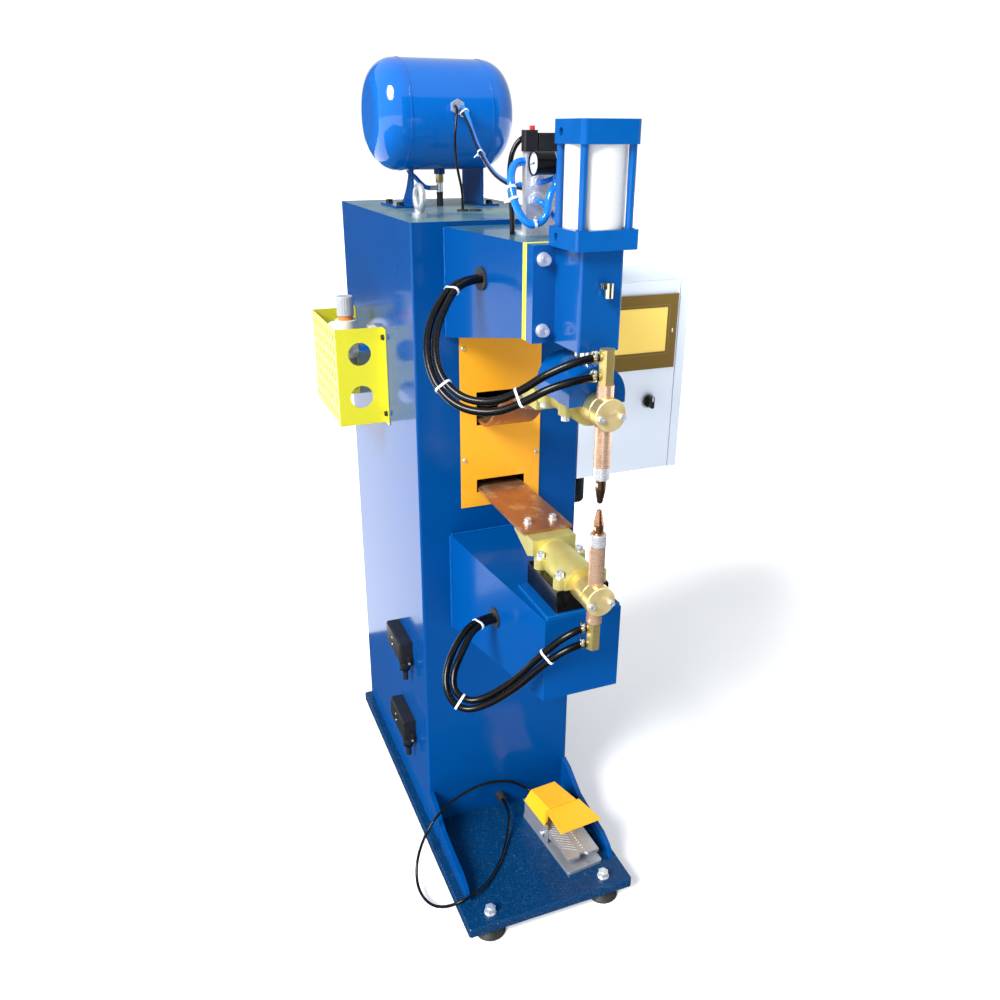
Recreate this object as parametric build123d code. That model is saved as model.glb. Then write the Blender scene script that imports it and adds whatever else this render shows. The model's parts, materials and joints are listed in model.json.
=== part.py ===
"""Pneumatic pedestal spot welder, in millimetres.

The model is drawn in the machine frame: X to the right, Y to the back and Z up, with zero at the
middle of the column's front face, on the top of the base plate. Every node is saved in the row
frame, whose origin is on the floor at the middle of the whole machine's footprint.
"""

from build123d import *
import math
import os

os.makedirs("parts", exist_ok=True)

# ---- driving dimensions ----
COL_W, COL_D, COL_H = 330, 528, 1280
WALL = 5
TOP_T = 8
PLATE_X, PLATE_W, PLATE_T = -4, 356, 20
PLATE_FRONT, PLATE_REAR = -306, 540
FOOT_H = 24
FOOT_X, FOOT_FRONT_Y, FOOT_REAR_Y, FOOT_R = 125, -278, 500, 31

ARM_ROOT_HW, ARM_TIP_HW = 105, 69
UPPER_LEN, UPPER_ROOT_Z, UPPER_NOSE_Z, UPPER_TOP_Z = 258, 1082, 1131, 1272
KNEE_LEN, KNEE_ROOT_Z, KNEE_NOSE_Z, KNEE_TOP_Z = 369, 491, 543, 695
ARM_WALL = 6
PAD_T = 7

GASKET_T, FLANGE_T = 15, 23
TUBE_X0, TUBE_X1, TUBE_D, TUBE_WALL = -32, 35, 80, 6
CYL_Y, CYL_HW, CYL_PITCH = -345, 46, 72
BASE_CAP_T, TOP_CAP_T, BARREL_LEN = 27, 31, 108
BARREL_R, BORE_R, TIE_R = 43, 40, 5.5
ROD_R = 12.5

WELD_Y = -404
HOLDER_R, TIP_R = 12.5, 8
BAR_R = 24
UPPER_BAR_Z, LOWER_BAR_Z = 1048, 745
TIP_GAP = 11
LOWER_TIP_Z = 894
SADDLE_ROWS = (-350, -274)
SADDLE_X = 36
BUS_HW, BUS_T, BUS_TOP_Z = 47, 5, 786

PANEL_HW, PANEL_Z0, PANEL_Z1 = 81, 748, 1081
TANK_R, TANK_X0, TANK_X1, TANK_Y, TANK_Z = 101, -146, 129, 325, 1450
CAB_X0, CAB_X1, CAB_Z0, CAB_Z1, CAB_Y0, CAB_D = 165.3, 398, 772, 1157, 18, 196
DOOR_X1, DOOR_T = 377, 16
GUARD_X, GUARD_Y0, GUARD_Y1, GUARD_Z0, GUARD_Z1 = -261, 216, 450, 868, 1064
HOSE_D, CABLE_D = 12, 6
REG_X, REG_Y, REG_PORT_Z = -225, 275, 1020

PEDAL = Location((35, -56, 0), (0, 0, 5.5))
PEDAL_W, PEDAL_L = 84, 197
PIN_Y, PIN_Z, PIN_R = -92, 28, 4

FLOOR_Z = -(PLATE_T + FOOT_H)
X_MID = (GUARD_X + CAB_X1) / 2
Y_MID = (WELD_Y - 29 + PLATE_REAR) / 2
TO_ROW = Location((-X_MID, -Y_MID, -FLOOR_Z))

LOW3 = (Align.MIN, Align.MIN, Align.MIN)
UP = (Align.CENTER, Align.CENTER, Align.MIN)


# ---- helpers ----
def block(x0, x1, y0, y1, z0, z1):
    return Pos(x0, y0, z0) * Box(x1 - x0, y1 - y0, z1 - z0, align=LOW3)


def rod_z(x, y, z0, z1, radius):
    return Pos(x, y, z0) * Cylinder(radius, z1 - z0, align=UP)


def rod_y(x, z, y0, y1, radius):
    return Pos(x, y0, z) * Rot(-90, 0, 0) * Cylinder(radius, y1 - y0, align=UP)


def rod_x(y, z, x0, x1, radius):
    return Pos(x0, y, z) * Rot(0, 90, 0) * Cylinder(radius, x1 - x0, align=UP)


def prism_x(points, x0, x1):
    """Outline given as (y, z) points, extruded along X."""
    face = make_face(Polyline([(x0, y, z) for y, z in points], close=True))
    return extrude(face, amount=x1 - x0, dir=(1, 0, 0))


def socket_screw(at, direction, shank_r, shank_len, head_h=None, washer=True):
    """Socket-head screw: its head stands along direction from at, its shank goes the other way."""
    head_h = head_h or 2 * shank_r
    head_r = 1.6 * shank_r
    lift = 1.6 if washer else 0
    screw = Pos(0, 0, lift) * Cylinder(head_r, head_h, align=UP)
    screw -= Pos(0, 0, lift + 0.45 * head_h) * extrude(RegularPolygon(0.95 * shank_r, 6), head_h)
    screw += Pos(0, 0, -shank_len) * Cylinder(shank_r, shank_len + lift, align=UP)
    if washer:
        screw += Cylinder(2.05 * shank_r, lift, align=UP)
    return Plane(origin=at, z_dir=direction).location * screw


def hex_nut(at, direction, size, height, bore_r=0):
    nut = extrude(RegularPolygon(size / 2, 6, major_radius=False), height)
    if bore_r:
        nut -= Cylinder(bore_r, 3 * height)
    return Plane(origin=at, z_dir=direction).location * nut


def bend_radii(points):
    """One arc for each inner point: 0.45 of the shorter run, over the tangent of half the turn."""
    spots = [Vector(*p) for p in points]
    radii = []
    for before, here, after in zip(spots, spots[1:], spots[2:]):
        run_in, run_out = here - before, after - here
        turn = math.radians(run_in.get_angle(run_out))
        radii.append(0.45 * min(run_in.length, run_out.length) / math.tan(turn / 2))
    return radii


def tube(name, points, diameter):
    radii = bend_radii(points)
    path = FilletPolyline(*points, radius=radii)
    solid = sweep(Plane(origin=path @ 0, z_dir=path % 0) * Circle(diameter / 2), path=path)
    ideal = math.pi * diameter**2 / 4 * path.length
    print(name, "length", round(path.length), "volume share", round(solid.volume / ideal, 3),
          "radii", [round(r) for r in radii])
    return solid


def save(name, *shapes):
    solids = [s for shape in shapes for s in shape.solids()]
    node = Compound(children=solids) if len(solids) > 1 else solids[0]
    export_step(node.moved(TO_ROW) if len(solids) == 1 else TO_ROW * node, f"parts/{name}.step")


def taper_box(length, root_hw, tip_hw, root_z, tip_z, top_z, inset=0, cap=0):
    """Box arm that narrows towards its tip at y = -length; inset shrinks it for the hollow."""
    def frame(y, hw, low):
        return Wire.make_polygon(
            [(-hw, y, low), (hw, y, low), (hw, y, top_z - inset), (-hw, y, top_z - inset)])
    root = frame(0, root_hw - inset, root_z + inset)
    tip = frame(-length + cap, tip_hw - inset, tip_z + inset)
    return Solid.make_loft([root, tip], ruled=True)


# ---- base, column and arms ----
def base_plate():
    plate = block(PLATE_X - PLATE_W / 2, PLATE_X + PLATE_W / 2, PLATE_FRONT, PLATE_REAR, -PLATE_T, 0)
    plate = fillet(plate.edges().filter_by(Axis.Z), 6)
    plate = chamfer(plate.faces().sort_by(Axis.Z)[-1].edges(), 1.5)
    for x, y in foot_places():
        plate -= rod_z(x, y, -PLATE_T - 1, 1, 6.3)
    save("base_plate", plate)


def foot_places():
    return [(PLATE_X + x, y) for x in (-FOOT_X, FOOT_X) for y in (FOOT_FRONT_Y, FOOT_REAR_Y)]


def levelling_feet():
    feet = []
    for x, y in foot_places():
        dome = Cone(FOOT_R, 19, FOOT_H - 6, align=UP)
        dome = Pos(x, y, FLOOR_Z + 4) * dome + rod_z(x, y, FLOOR_Z, FLOOR_Z + 4, FOOT_R)
        stud = rod_z(x, y, FLOOR_Z + FOOT_H - 2, 15, 6)
        feet.append(dome + stud)
    save("levelling_feet", *feet)


def gussets():
    outline = [(-0.3, 0), (-0.3, 84), (-27, 78), (-84, 46), (-140, 38), (-196, 34), (-225, 22), (-240, 0)]
    plates = [prism_x(outline, x0, x0 + 10) for x0 in (-COL_W / 2, COL_W / 2 - 10)]
    save("gussets", *plates)


def column_shell():
    hw = COL_W / 2
    shell = block(-hw, hw, 0, COL_D, 0, COL_H)
    shell = fillet(shell.edges().filter_by(Axis.Z), 4)
    shell -= block(-hw + WALL, hw - WALL, WALL, COL_D - WALL, -1, COL_H - TOP_T)
    shell -= block(-70, 70, -1, WALL + 1, 765, 1000)
    shell -= block(-45, 45, -1, WALL + 1, 1160, 1235)
    shell -= block(-45, 45, -1, WALL + 1, 575, 640)
    shell -= block(-130, 130, COL_D - WALL - 1, COL_D + 1, 120, 1160)
    for x, y, z in panel_screw_places():
        shell -= rod_y(x, z, -1, WALL + 1, 2.1)
    for x, z in rear_screw_places():
        shell -= rod_y(x, z, COL_D - WALL - 1, COL_D + 1, 2.6)
    for x, y in eye_places():
        shell -= rod_z(x, y, COL_H - TOP_T - 1, COL_H + 1, 6.2)
    for x, y in cable_hole_places():
        shell -= rod_z(x, y, COL_H - TOP_T - 1, COL_H + 1, 9)
    for x, y in tank_bolt_places():
        shell -= rod_z(x, y, COL_H - TOP_T - 1, COL_H + 1, 4.2)
    for y, z in guard_bolt_places():
        shell -= rod_x(y, z, -hw - 1, -hw + WALL + 1, 3.2)
    shell -= rod_y(2, 25, -1, WALL + 1, 9)
    save("column_shell", shell)


def panel_screw_places():
    return [(x, 0, z) for x in (-74, 74) for z in (846, 1060)]


def rear_screw_places():
    return [(x, z) for x in (-142, 142) for z in (140, 640, 1140)]


def eye_places():
    return [(-120, 90), (120, 440)]


def cable_hole_places():
    return [(-4, 189), (19, 181)]


def tank_bolt_places():
    return [(x, y) for x in (-94, 96) for y in (308, 390)]


def guard_bolt_places():
    return [(y, z) for y in (GUARD_Y0 - 13, GUARD_Y1 + 13) for z in (GUARD_Z0 + 22, GUARD_Z1 - 18)]


def rear_cover():
    cover = block(-152, 152, COL_D + 0.2, COL_D + 2.2, 108, 1172)
    cover = fillet(cover.edges().filter_by(Axis.Y), 6)
    for x, z in rear_screw_places():
        cover -= rod_y(x, z, COL_D - 1, COL_D + 4, 2.6)
    for row in range(6):
        for x0 in (-90, 10):
            slot_z = 900 + 26 * row
            cover -= block(x0, x0 + 80, COL_D - 1, COL_D + 4, slot_z, slot_z + 8)
    save("rear_cover", cover)


def arm_face(length, root_hw, tip_hw, y):
    """X of an arm's left face at y, and the face's outward normal."""
    x = -root_hw + (root_hw - tip_hw) * (-y) / length
    normal = Vector(-length, tip_hw - root_hw, 0).normalized()
    return x, normal


def wall_hole(length, root_hw, tip_hw, y, z, radius, depth):
    x, normal = arm_face(length, root_hw, tip_hw, y)
    drill = Pos(0, 0, -depth) * Cylinder(radius, depth + 3, align=UP)
    return Plane(origin=(x, y, z), z_dir=normal).location * drill


UPPER_EXIT = (-132, 1203)
KNEE_EXIT = (-194, 612)


def upper_arm():
    shape = (UPPER_LEN, ARM_ROOT_HW, ARM_TIP_HW, UPPER_ROOT_Z, UPPER_NOSE_Z, UPPER_TOP_Z)
    arm = Pos(0, -0.01, 0) * taper_box(*shape)
    arm -= taper_box(*shape, inset=ARM_WALL, cap=ARM_WALL)
    arm -= wall_hole(*shape[:3], *UPPER_EXIT, 15, 12)
    for x, z in head_bolt_places():
        arm -= rod_y(x, z, -UPPER_LEN - 1, -UPPER_LEN + 8, 5.3)
    save("upper_arm", arm)


def lower_knee():
    shape = (KNEE_LEN, ARM_ROOT_HW, ARM_TIP_HW, KNEE_ROOT_Z, KNEE_NOSE_Z, KNEE_TOP_Z)
    knee = Pos(0, -0.01, 0) * taper_box(*shape)
    knee -= taper_box(*shape, inset=ARM_WALL, cap=ARM_WALL)
    knee += block(-66, 66, -KNEE_LEN, -250, KNEE_TOP_Z - 1, KNEE_TOP_Z + PAD_T)
    knee -= wall_hole(*shape[:3], *KNEE_EXIT, 15, 12)
    save("lower_knee", knee)


def head_bolt_places():
    return [(x, z) for x in (-53, 53) for z in (1149, 1252)]


def front_panel():
    panel = block(-PANEL_HW, PANEL_HW, -2.2, -0.2, PANEL_Z0, PANEL_Z1)
    panel -= block(-49, 49, -3, 1, 912, 976)
    panel -= block(-49.5, 49.5, -3, 1, 777, 803)
    for x, y, z in panel_screw_places():
        panel -= rod_y(x, z, -3, 1, 2.1)
    save("front_panel", panel)


def lifting_eyes():
    eyes = []
    for x, y in eye_places():
        ring = Pos(x, y, COL_H + 32) * Rot(0, 90, 0) * Torus(20, 6)
        collar = rod_z(x, y, COL_H, COL_H + 8, 14)
        neck = rod_z(x, y, COL_H + 5, COL_H + 14, 9)
        stud = rod_z(x, y, COL_H - 20, COL_H + 5, 6)
        eyes.append(ring + collar + neck + stud)
    save("lifting_eyes", *eyes)


# ---- inside the column ----
def welding_transformer():
    core = block(-110, 110, 150, 330, 800, 1010) - block(-60, 60, 140, 340, 850, 960)
    coils = [block(x0, x0 + 80, 135, 345, 856, 954) - block(x0 + 14.5, x0 + 65.5, 149.5, 330.5, 0, 2000)
             for x0 in (-125, 45)]
    shelf = block(-159.9, 159.9, 150, 400, 788, 799.9)
    rails = [block(x0, x0 + 8, 150, 400, 760, 787.9) for x0 in (-159.9, 151.9)]
    save("welding_transformer", core, *coils, shelf, *rails, secondary_turn())


def secondary_turn():
    """Single copper turn through the core's window, with a pad for the bus bar and for the strap."""
    low = block(-40, 40, 50, 134, 768, BUS_TOP_Z - BUS_T - 0.02)
    riser = block(-40, 40, 118, 134, 768, 870)
    low_bar = block(-40, 40, 118, 356, 852, 870)
    back = block(-40, 40, 345, 356, 852, SLOT_Z - 3.02)
    high = block(-40, 40, 50, 356, SLOT_Z - 19, SLOT_Z - 3.02)
    return low + riser + low_bar + back + high


def thyristor_module():
    plate = block(152, 159.9, 200, 380, 560, 700)
    fins = [block(118, 152, y, y + 3, 560, 700) for y in range(200, 378, 12)]
    module = block(84, 118, 240, 340, 590, 670)
    save("thyristor_module", sum(fins, plate) + module)


# ---- head and cylinder ----
HEAD_BACK = -UPPER_LEN - GASKET_T
FLANGE_FRONT = HEAD_BACK - FLANGE_T
TUBE_FRONT = FLANGE_FRONT - TUBE_D
HEAD_Z0 = 1130


def head_gasket():
    plate = block(-ARM_TIP_HW, ARM_TIP_HW, HEAD_BACK, -UPPER_LEN - 0.02, HEAD_Z0, UPPER_TOP_Z)
    for x, z in head_bolt_places():
        plate -= rod_y(x, z, HEAD_BACK - 1, -UPPER_LEN + 1, 5.3)
    save("head_gasket", plate)


def head_housing():
    flange = block(-ARM_TIP_HW, ARM_TIP_HW, FLANGE_FRONT, HEAD_BACK - 0.02, HEAD_Z0, UPPER_TOP_Z)
    column = block(TUBE_X0, TUBE_X1, TUBE_FRONT, FLANGE_FRONT, HEAD_Z0, UPPER_TOP_Z)
    column = fillet(column.faces().sort_by(Axis.Y)[0].edges().filter_by(Axis.Z), 4)
    housing = flange + column
    housing -= block(TUBE_X0 + TUBE_WALL, TUBE_X1 - TUBE_WALL, TUBE_FRONT + TUBE_WALL,
                     FLANGE_FRONT + 2, HEAD_Z0 + 24, UPPER_TOP_Z + 1)
    housing -= rod_z(0, CYL_Y, HEAD_Z0 - 1, HEAD_Z0 + 30, ROD_R + 0.06)
    housing -= rod_z(0, GUIDE_Y, HEAD_Z0 - 1, HEAD_Z0 + 30, GUIDE_R + 0.06)
    for x, z in head_bolt_places():
        housing -= rod_y(x, z, FLANGE_FRONT - 1, HEAD_BACK + 1, 5.3)
    housing -= rod_y(OIL_X, OIL_Z, TUBE_FRONT - 1, TUBE_FRONT + 3, 3.1)
    save("head_housing", housing)


CYL_BASE_Z = UPPER_TOP_Z
BARREL_Z0 = CYL_BASE_Z + BASE_CAP_T
BARREL_Z1 = BARREL_Z0 + BARREL_LEN
CYL_TOP_Z = BARREL_Z1 + TOP_CAP_T


def tie_places():
    half = CYL_PITCH / 2
    return [(x, CYL_Y + dy) for x in (-half, half) for dy in (-half, half)]


def cylinder_caps():
    base = block(-CYL_HW - 2, CYL_HW + 2, CYL_Y - CYL_HW, CYL_Y + CYL_HW, CYL_BASE_Z + 0.02, BARREL_Z0)
    base = fillet(base.edges().filter_by(Axis.Z), 4)
    base -= rod_z(0, CYL_Y, CYL_BASE_Z - 1, BARREL_Z0 + 1, ROD_R + 0.06)
    base -= rod_x(CYL_Y + 20, CYL_BASE_Z + 14, -CYL_HW - 3, -CYL_HW + 12, 6)
    top = block(-CYL_HW + 2, CYL_HW - 2, CYL_Y - CYL_HW, CYL_Y + CYL_HW, BARREL_Z1, CYL_TOP_Z)
    top = fillet(top.edges().filter_by(Axis.Z), 8)
    top -= rod_x(CYL_Y + 20, BARREL_Z1 + 15, -CYL_HW - 3, -CYL_HW + 14, 6)
    for x, y in tie_places():
        base -= rod_z(x, y, CYL_BASE_Z - 1, BARREL_Z0 + 1, TIE_R + 0.2)
        top -= rod_z(x, y, BARREL_Z1 - 1, CYL_TOP_Z - 8, TIE_R + 0.2)
    save("cylinder_caps", base, top)


def cylinder_barrel():
    barrel = rod_z(0, CYL_Y, BARREL_Z0 + 0.02, BARREL_Z1 - 0.02, BARREL_R)
    save("cylinder_barrel", barrel - rod_z(0, CYL_Y, BARREL_Z0 - 1, BARREL_Z1 + 1, BORE_R))


def tie_rods():
    save("tie_rods", *[rod_z(x, y, CYL_BASE_Z + 1, CYL_TOP_Z - 10, TIE_R) for x, y in tie_places()])


OIL_X, OIL_Z = 8, 1218
OIL_Y = TUBE_FRONT - 9


def oil_cup():
    cup = rod_z(OIL_X, OIL_Y, OIL_Z - 11, OIL_Z + 8, 6.2) - rod_z(OIL_X, OIL_Y, OIL_Z - 8, OIL_Z + 9, 4.7)
    elbow = rod_y(OIL_X, OIL_Z, OIL_Y + 5.6, TUBE_FRONT + 2, 3)
    lugs = [block(OIL_X - 11, OIL_X - 6.9, y0, y0 + 1.6, OIL_Z + 2, OIL_Z + 10.5)
            + block(OIL_X - 11, OIL_X - 4.9, y0, y0 + 1.6, OIL_Z + 2, OIL_Z + 7)
            for y0 in (OIL_Y - 4, OIL_Y + 2.4)]
    pin = rod_y(OIL_X - 9, OIL_Z + 8.4, OIL_Y - 4, OIL_Y + 4, 0.9)
    save("oil_cup", cup + elbow + lugs[0] + lugs[1] + pin)


def oil_cup_lid():
    lid = rod_z(OIL_X, OIL_Y, OIL_Z + 8.1, OIL_Z + 10, 6.4)
    arm = block(OIL_X - 10.4, OIL_X, OIL_Y - 2.1, OIL_Y + 2.1, OIL_Z + 8.1, OIL_Z + 10)
    eye = rod_y(OIL_X - 9, OIL_Z + 8.4, OIL_Y - 2.1, OIL_Y + 2.1, 1.9)
    lid = lid + arm + eye - rod_y(OIL_X - 9, OIL_Z + 8.4, OIL_Y - 3, OIL_Y + 3, 0.95)
    save("oil_cup_lid", lid)


# ---- ram and upper electrode ----
GUIDE_Y, GUIDE_R = -312, 5
BLOCK_HW, BLOCK_Y0, BLOCK_Y1 = 46, -381, -266
BLOCK_TOP = UPPER_BAR_Z + 58
PISTON_Z = 1360


def ram_rods():
    piston = rod_z(0, CYL_Y, PISTON_Z, PISTON_Z + 26, BORE_R - 0.08)
    rod = rod_z(0, CYL_Y, BLOCK_TOP - 18, PISTON_Z + 2, ROD_R)
    guide = rod_z(0, GUIDE_Y, BLOCK_TOP - 18, HEAD_Z0 + 48, GUIDE_R)
    save("ram_rods", piston + rod, guide)


def arch(half_width, z0, y0, y1):
    """Flat-bottomed block with a half-round top, along Y."""
    dome = rod_y(0, z0 + 12, y0, y1, half_width)
    return (dome & block(-60, 60, y0, y1, z0 + 12, z0 + 80)) + block(
        -half_width, half_width, y0, y1, z0, z0 + 12)


def ram_block():
    body = arch(BLOCK_HW, UPPER_BAR_Z + 4.1, BLOCK_Y0, BLOCK_Y1)
    body -= rod_y(0, UPPER_BAR_Z, BLOCK_Y0 - 1, BLOCK_Y1 + 1, BAR_R + 0.3)
    body -= rod_z(0, CYL_Y, BLOCK_TOP - 18, BLOCK_TOP + 9, ROD_R)
    body -= rod_z(0, GUIDE_Y, BLOCK_TOP - 18, BLOCK_TOP + 9, GUIDE_R)
    for x, y in saddle_places():
        body -= rod_z(x, y, UPPER_BAR_Z, UPPER_BAR_Z + 20, 4.2)
    save("ram_block", body)


def saddle_places():
    return [(x, y) for x in (-SADDLE_X, SADDLE_X) for y in SADDLE_ROWS]


def bar(z):
    body = rod_y(0, z, WELD_Y + 1.5, -250, BAR_R)
    body = chamfer(body.edges().sort_by(Axis.Y)[0], 1)
    return body - rod_z(0, WELD_Y, z - 40, z + 40, HOLDER_R)


def clamp_cap(z):
    body = rod_y(0, z, WELD_Y - 21, WELD_Y - 1.5, BAR_R + 0.6)
    body = chamfer(body.edges().sort_by(Axis.Y)[0], 1.2)
    body -= rod_z(0, WELD_Y, z - 40, z + 40, HOLDER_R)
    for x in (-17, 17):
        body -= rod_y(x, z - 3, WELD_Y - 30, WELD_Y, 3.2)
    return body


def saddle(axis_z, side):
    """Cast brass saddle over the bar; side is +1 with its lugs' screws on top, -1 turned over."""
    def spot(z0, z1):
        low, high = sorted((axis_z + side * z0, axis_z + side * z1))
        return low, high
    y0, y1 = SADDLE_ROWS[0] - 14, -250
    hump = rod_y(0, axis_z, y0, y1, BAR_R + 9)
    keep = block(-60, 60, y0 - 1, y1 + 1, *spot(-4, 60))
    body = hump & keep
    for x, y in saddle_places():
        body += rod_z(x, y, *spot(-4, 15), 11)
        body += block(min(0, x), max(0, x), y - 9, y + 9, *spot(-4, 12))
    neck = [(-252, 8), (-252, 36), (-232, BUS_TOP_Z - BUS_T - LOWER_BAR_Z - 0.1),
            (-168, BUS_TOP_Z - BUS_T - LOWER_BAR_Z - 0.1), (-168, 24), (-228, -2)]
    body += prism_x([(y, axis_z + side * z) for y, z in neck], -40, 40)
    body -= rod_y(0, axis_z, y0 - 1, y1, BAR_R)
    for x, y in saddle_places():
        body -= rod_z(x, y, *spot(15, 40), 8.8)
        body -= rod_z(x, y, *spot(-6, 16), 4.2)
    for x, y in bus_bolt_places():
        body -= rod_z(x, y, *spot(0, 60), 4.2)
    return body


def bus_bolt_places():
    return [(-24, -190), (24, -190)]


def upper_saddle():
    save("upper_saddle", saddle(UPPER_BAR_Z, -1))


def upper_arm_bar():
    save("upper_arm_bar", bar(UPPER_BAR_Z))


def upper_screws():
    z = UPPER_BAR_Z
    screws = [socket_screw((x, y, z - 15), (0, 0, -1), 4, 14) for x, y in saddle_places()]
    screws += [socket_screw((x, WELD_Y - 21, z - 3), (0, -1, 0), 3, 14, washer=False) for x in (-17, 17)]
    screws += [socket_screw((x, y, SHUNT_Z0), (0, 0, -1), 4, 14) for x, y in bus_bolt_places()]
    save("upper_screws", *screws)


def holder(z0, z1):
    """Electrode holder: a round copper bar with its steel ring nut at the tip's end."""
    return rod_z(0, WELD_Y, z0, z1, HOLDER_R)


def tip(point_z, side):
    """Electrode tip with a bullet nose, along side (+1 points up)."""
    profile = [(0, 0), (2.6, 0), (4.2, 1.6), (7.2, 18), (TIP_R, 24), (TIP_R, 39), (0, 39)]
    face = make_face(Polyline([(x, 0, -side * z) for x, z in profile], close=True))
    body = Pos(0, WELD_Y, point_z) * revolve(face, Axis.Z)
    low, high = sorted((point_z - side * 34, point_z - side * 26))
    for x0 in (-TIP_R - 1, TIP_R - 1.2):
        body -= block(x0, x0 + 2.2, WELD_Y - 10, WELD_Y + 10, low, high)
    return body


def ring_nut(z0, z1):
    return rod_z(0, WELD_Y, z0, z1, 13) - rod_z(0, WELD_Y, z0 - 1, z1 + 1, HOLDER_R - 1)


UPPER_TIP_Z = LOWER_TIP_Z + TIP_GAP
UPPER_FIT_Z0, UPPER_FIT_Z1 = 1089, 1140
LOWER_FIT_Z0, LOWER_FIT_Z1 = 652, 700


def electrode(name, tip_z, side, far_z):
    """Holder with its ring nut from the tip's shoulder to the water fitting."""
    shoulder = tip_z - side * 39
    ring_far = shoulder - side * 20
    low, high = sorted((ring_far, far_z))
    bar_solid = holder(low, high)
    neck_low, neck_high = sorted((shoulder - side * 0.1, ring_far))
    bar_solid += rod_z(0, WELD_Y, neck_low, neck_high, HOLDER_R - 1.05)
    nut = ring_nut(*sorted((shoulder - side * 2, ring_far + side * 0.1)))
    save(f"{name}_holder", bar_solid, nut)
    save(f"{name}_tip", tip(tip_z, side))


BARB_GAP = 28


BARB_END = -14


def water_fitting(z0, z1):
    """Hex brass body with two barbed stubs on its left."""
    body = Pos(0, WELD_Y, z0) * extrude(RegularPolygon(10.5, 6, major_radius=False), z1 - z0)
    for z in barb_heights(z0, z1):
        body += rod_x(WELD_Y, z, BARB_END, 0, 3.6)
        body += rod_x(WELD_Y, z, -12, 0, 5.5)
    return body


def barb_heights(z0, z1):
    middle = (z0 + z1) / 2
    return middle - BARB_GAP / 2, middle + BARB_GAP / 2


# ---- lower electrode support ----
def insulator_block():
    body = block(-BUS_HW, BUS_HW, SADDLE_ROWS[0] - 13, -245, KNEE_TOP_Z + PAD_T, LOWER_BAR_Z - 4.1)
    body = chamfer(body.edges().filter_by(Axis.Z), 1)
    body -= rod_y(0, LOWER_BAR_Z, -400, -200, BAR_R + 0.3)
    for x, y in saddle_places():
        body -= rod_z(x, y, LOWER_BAR_Z - 20, LOWER_BAR_Z, 4.2)
    save("insulator_block", body)


def lower_bus_bar():
    body = block(-BUS_HW, BUS_HW, -224, 96, BUS_TOP_Z - BUS_T, BUS_TOP_Z)
    pad_hole = 4.2
    for x, y in bus_bolt_places():
        body -= rod_z(x, y, BUS_TOP_Z - 10, BUS_TOP_Z + 1, pad_hole)
    save("lower_bus_bar", body)


def lower_screws():
    z = LOWER_BAR_Z
    screws = [socket_screw((x, y, z + 15), (0, 0, 1), 4, 14) for x, y in saddle_places()]
    screws += [socket_screw((x, WELD_Y - 21, z - 3), (0, -1, 0), 3, 14, washer=False) for x in (-17, 17)]
    screws += [socket_screw((x, y, BUS_TOP_Z), (0, 0, 1), 4, 14) for x, y in bus_bolt_places()]
    save("lower_screws", *screws)


SHUNT_Z0 = UPPER_BAR_Z - (BUS_TOP_Z - BUS_T - LOWER_BAR_Z) - 6
SLOT_Z = 921


def upper_shunt():
    """Laminated copper strap: flat end under the saddle, a bend, and a flat end in the slot."""
    thick = 6
    top = SHUNT_Z0 + thick
    path = FilletPolyline((0, -224, SHUNT_Z0 + 3), (0, -146, SHUNT_Z0 + 3), (0, -36, SLOT_Z), (0, 96, SLOT_Z),
                          radius=[26, 26])
    section = Plane(origin=path @ 0, z_dir=path % 0, x_dir=(1, 0, 0)) * Rectangle(2 * BUS_HW - 4, thick)
    body = sweep(section, path=path)
    for x, y in bus_bolt_places():
        body -= rod_z(x, y, SHUNT_Z0 - 1, top + 1, 4.2)
    save("upper_shunt", body)


# ---- hoses, grommets and the pedal cable ----
SEAL_LIFT = 3.5
UPPER_LOOP = [
    [(-172, -186, 1164), (-196, -216, 1126), (-200, -251, 1083), (-179, -290, 1055), (-141, -328, 1055),
     (-108, -358, 1080), (-84, -382, 1106)],
    [(-182, -174, 1171), (-210, -209, 1126), (-213, -249, 1075), (-189, -294, 1042), (-146, -336, 1039),
     (-108, -367, 1060), (-82, -386, 1083)],
]
LOWER_LOOP = [
    [(-170, -249, 590), (-194, -268, 562), (-197, -287, 538), (-176, -305, 526), (-148, -322, 541),
     (-110, -349, 583), (-80, -380, 642)],
    [(-181, -236, 599), (-208, -262, 564), (-212, -286, 533), (-191, -306, 511), (-158, -329, 526),
     (-113, -360, 571), (-78, -386, 624)],
]
PEDAL_CABLE = [
    (44, -22, 56), (28, -15, 65), (4, -11, 72), (-30, -11, 78), (-66, -20, 82), (-100, -36, 87), (-132, -54, 90),
    (-164, -70, 86), (-190, -81, 66), (-208, -87, 38), (-221, -94, 10), (-231, -110, -14), (-236, -136, -30),
    (-233, -166, -34), (-222, -196, -30), (-204, -222, -14), (-184, -238, 4), (-158, -240, 14),
    (-130, -228, 10), (-104, -208, 5), (-78, -184, 4.5), (-54, -156, 4.5), (-34, -126, 6), (-16, -96, 12),
    (-2, -68, 21),
]
TANK_CABLE = [(-10, 198, 1464), (-14, 188, 1448), (-20, 181, 1420), (-22, 177, 1386), (-16, 179, 1350),
              (-7, 186, 1324), (-4, 189, 1304)]
TANK_TUBES = [
    [(2, 188, 1463), (-2, 150, 1434), (-6, 110, 1406), (-12, 60, 1383), (-18, 10, 1364), (-22, -44, 1350),
     (-22, -98, 1344), (-20, -140, 1344)],
    [(-4, 186, 1456), (-7, 140, 1431), (-11, 100, 1404), (-17, 50, 1383), (-23, 0, 1364), (-27, -54, 1350),
     (-29, -104, 1343), (-29, -140, 1340)],
]
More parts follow.
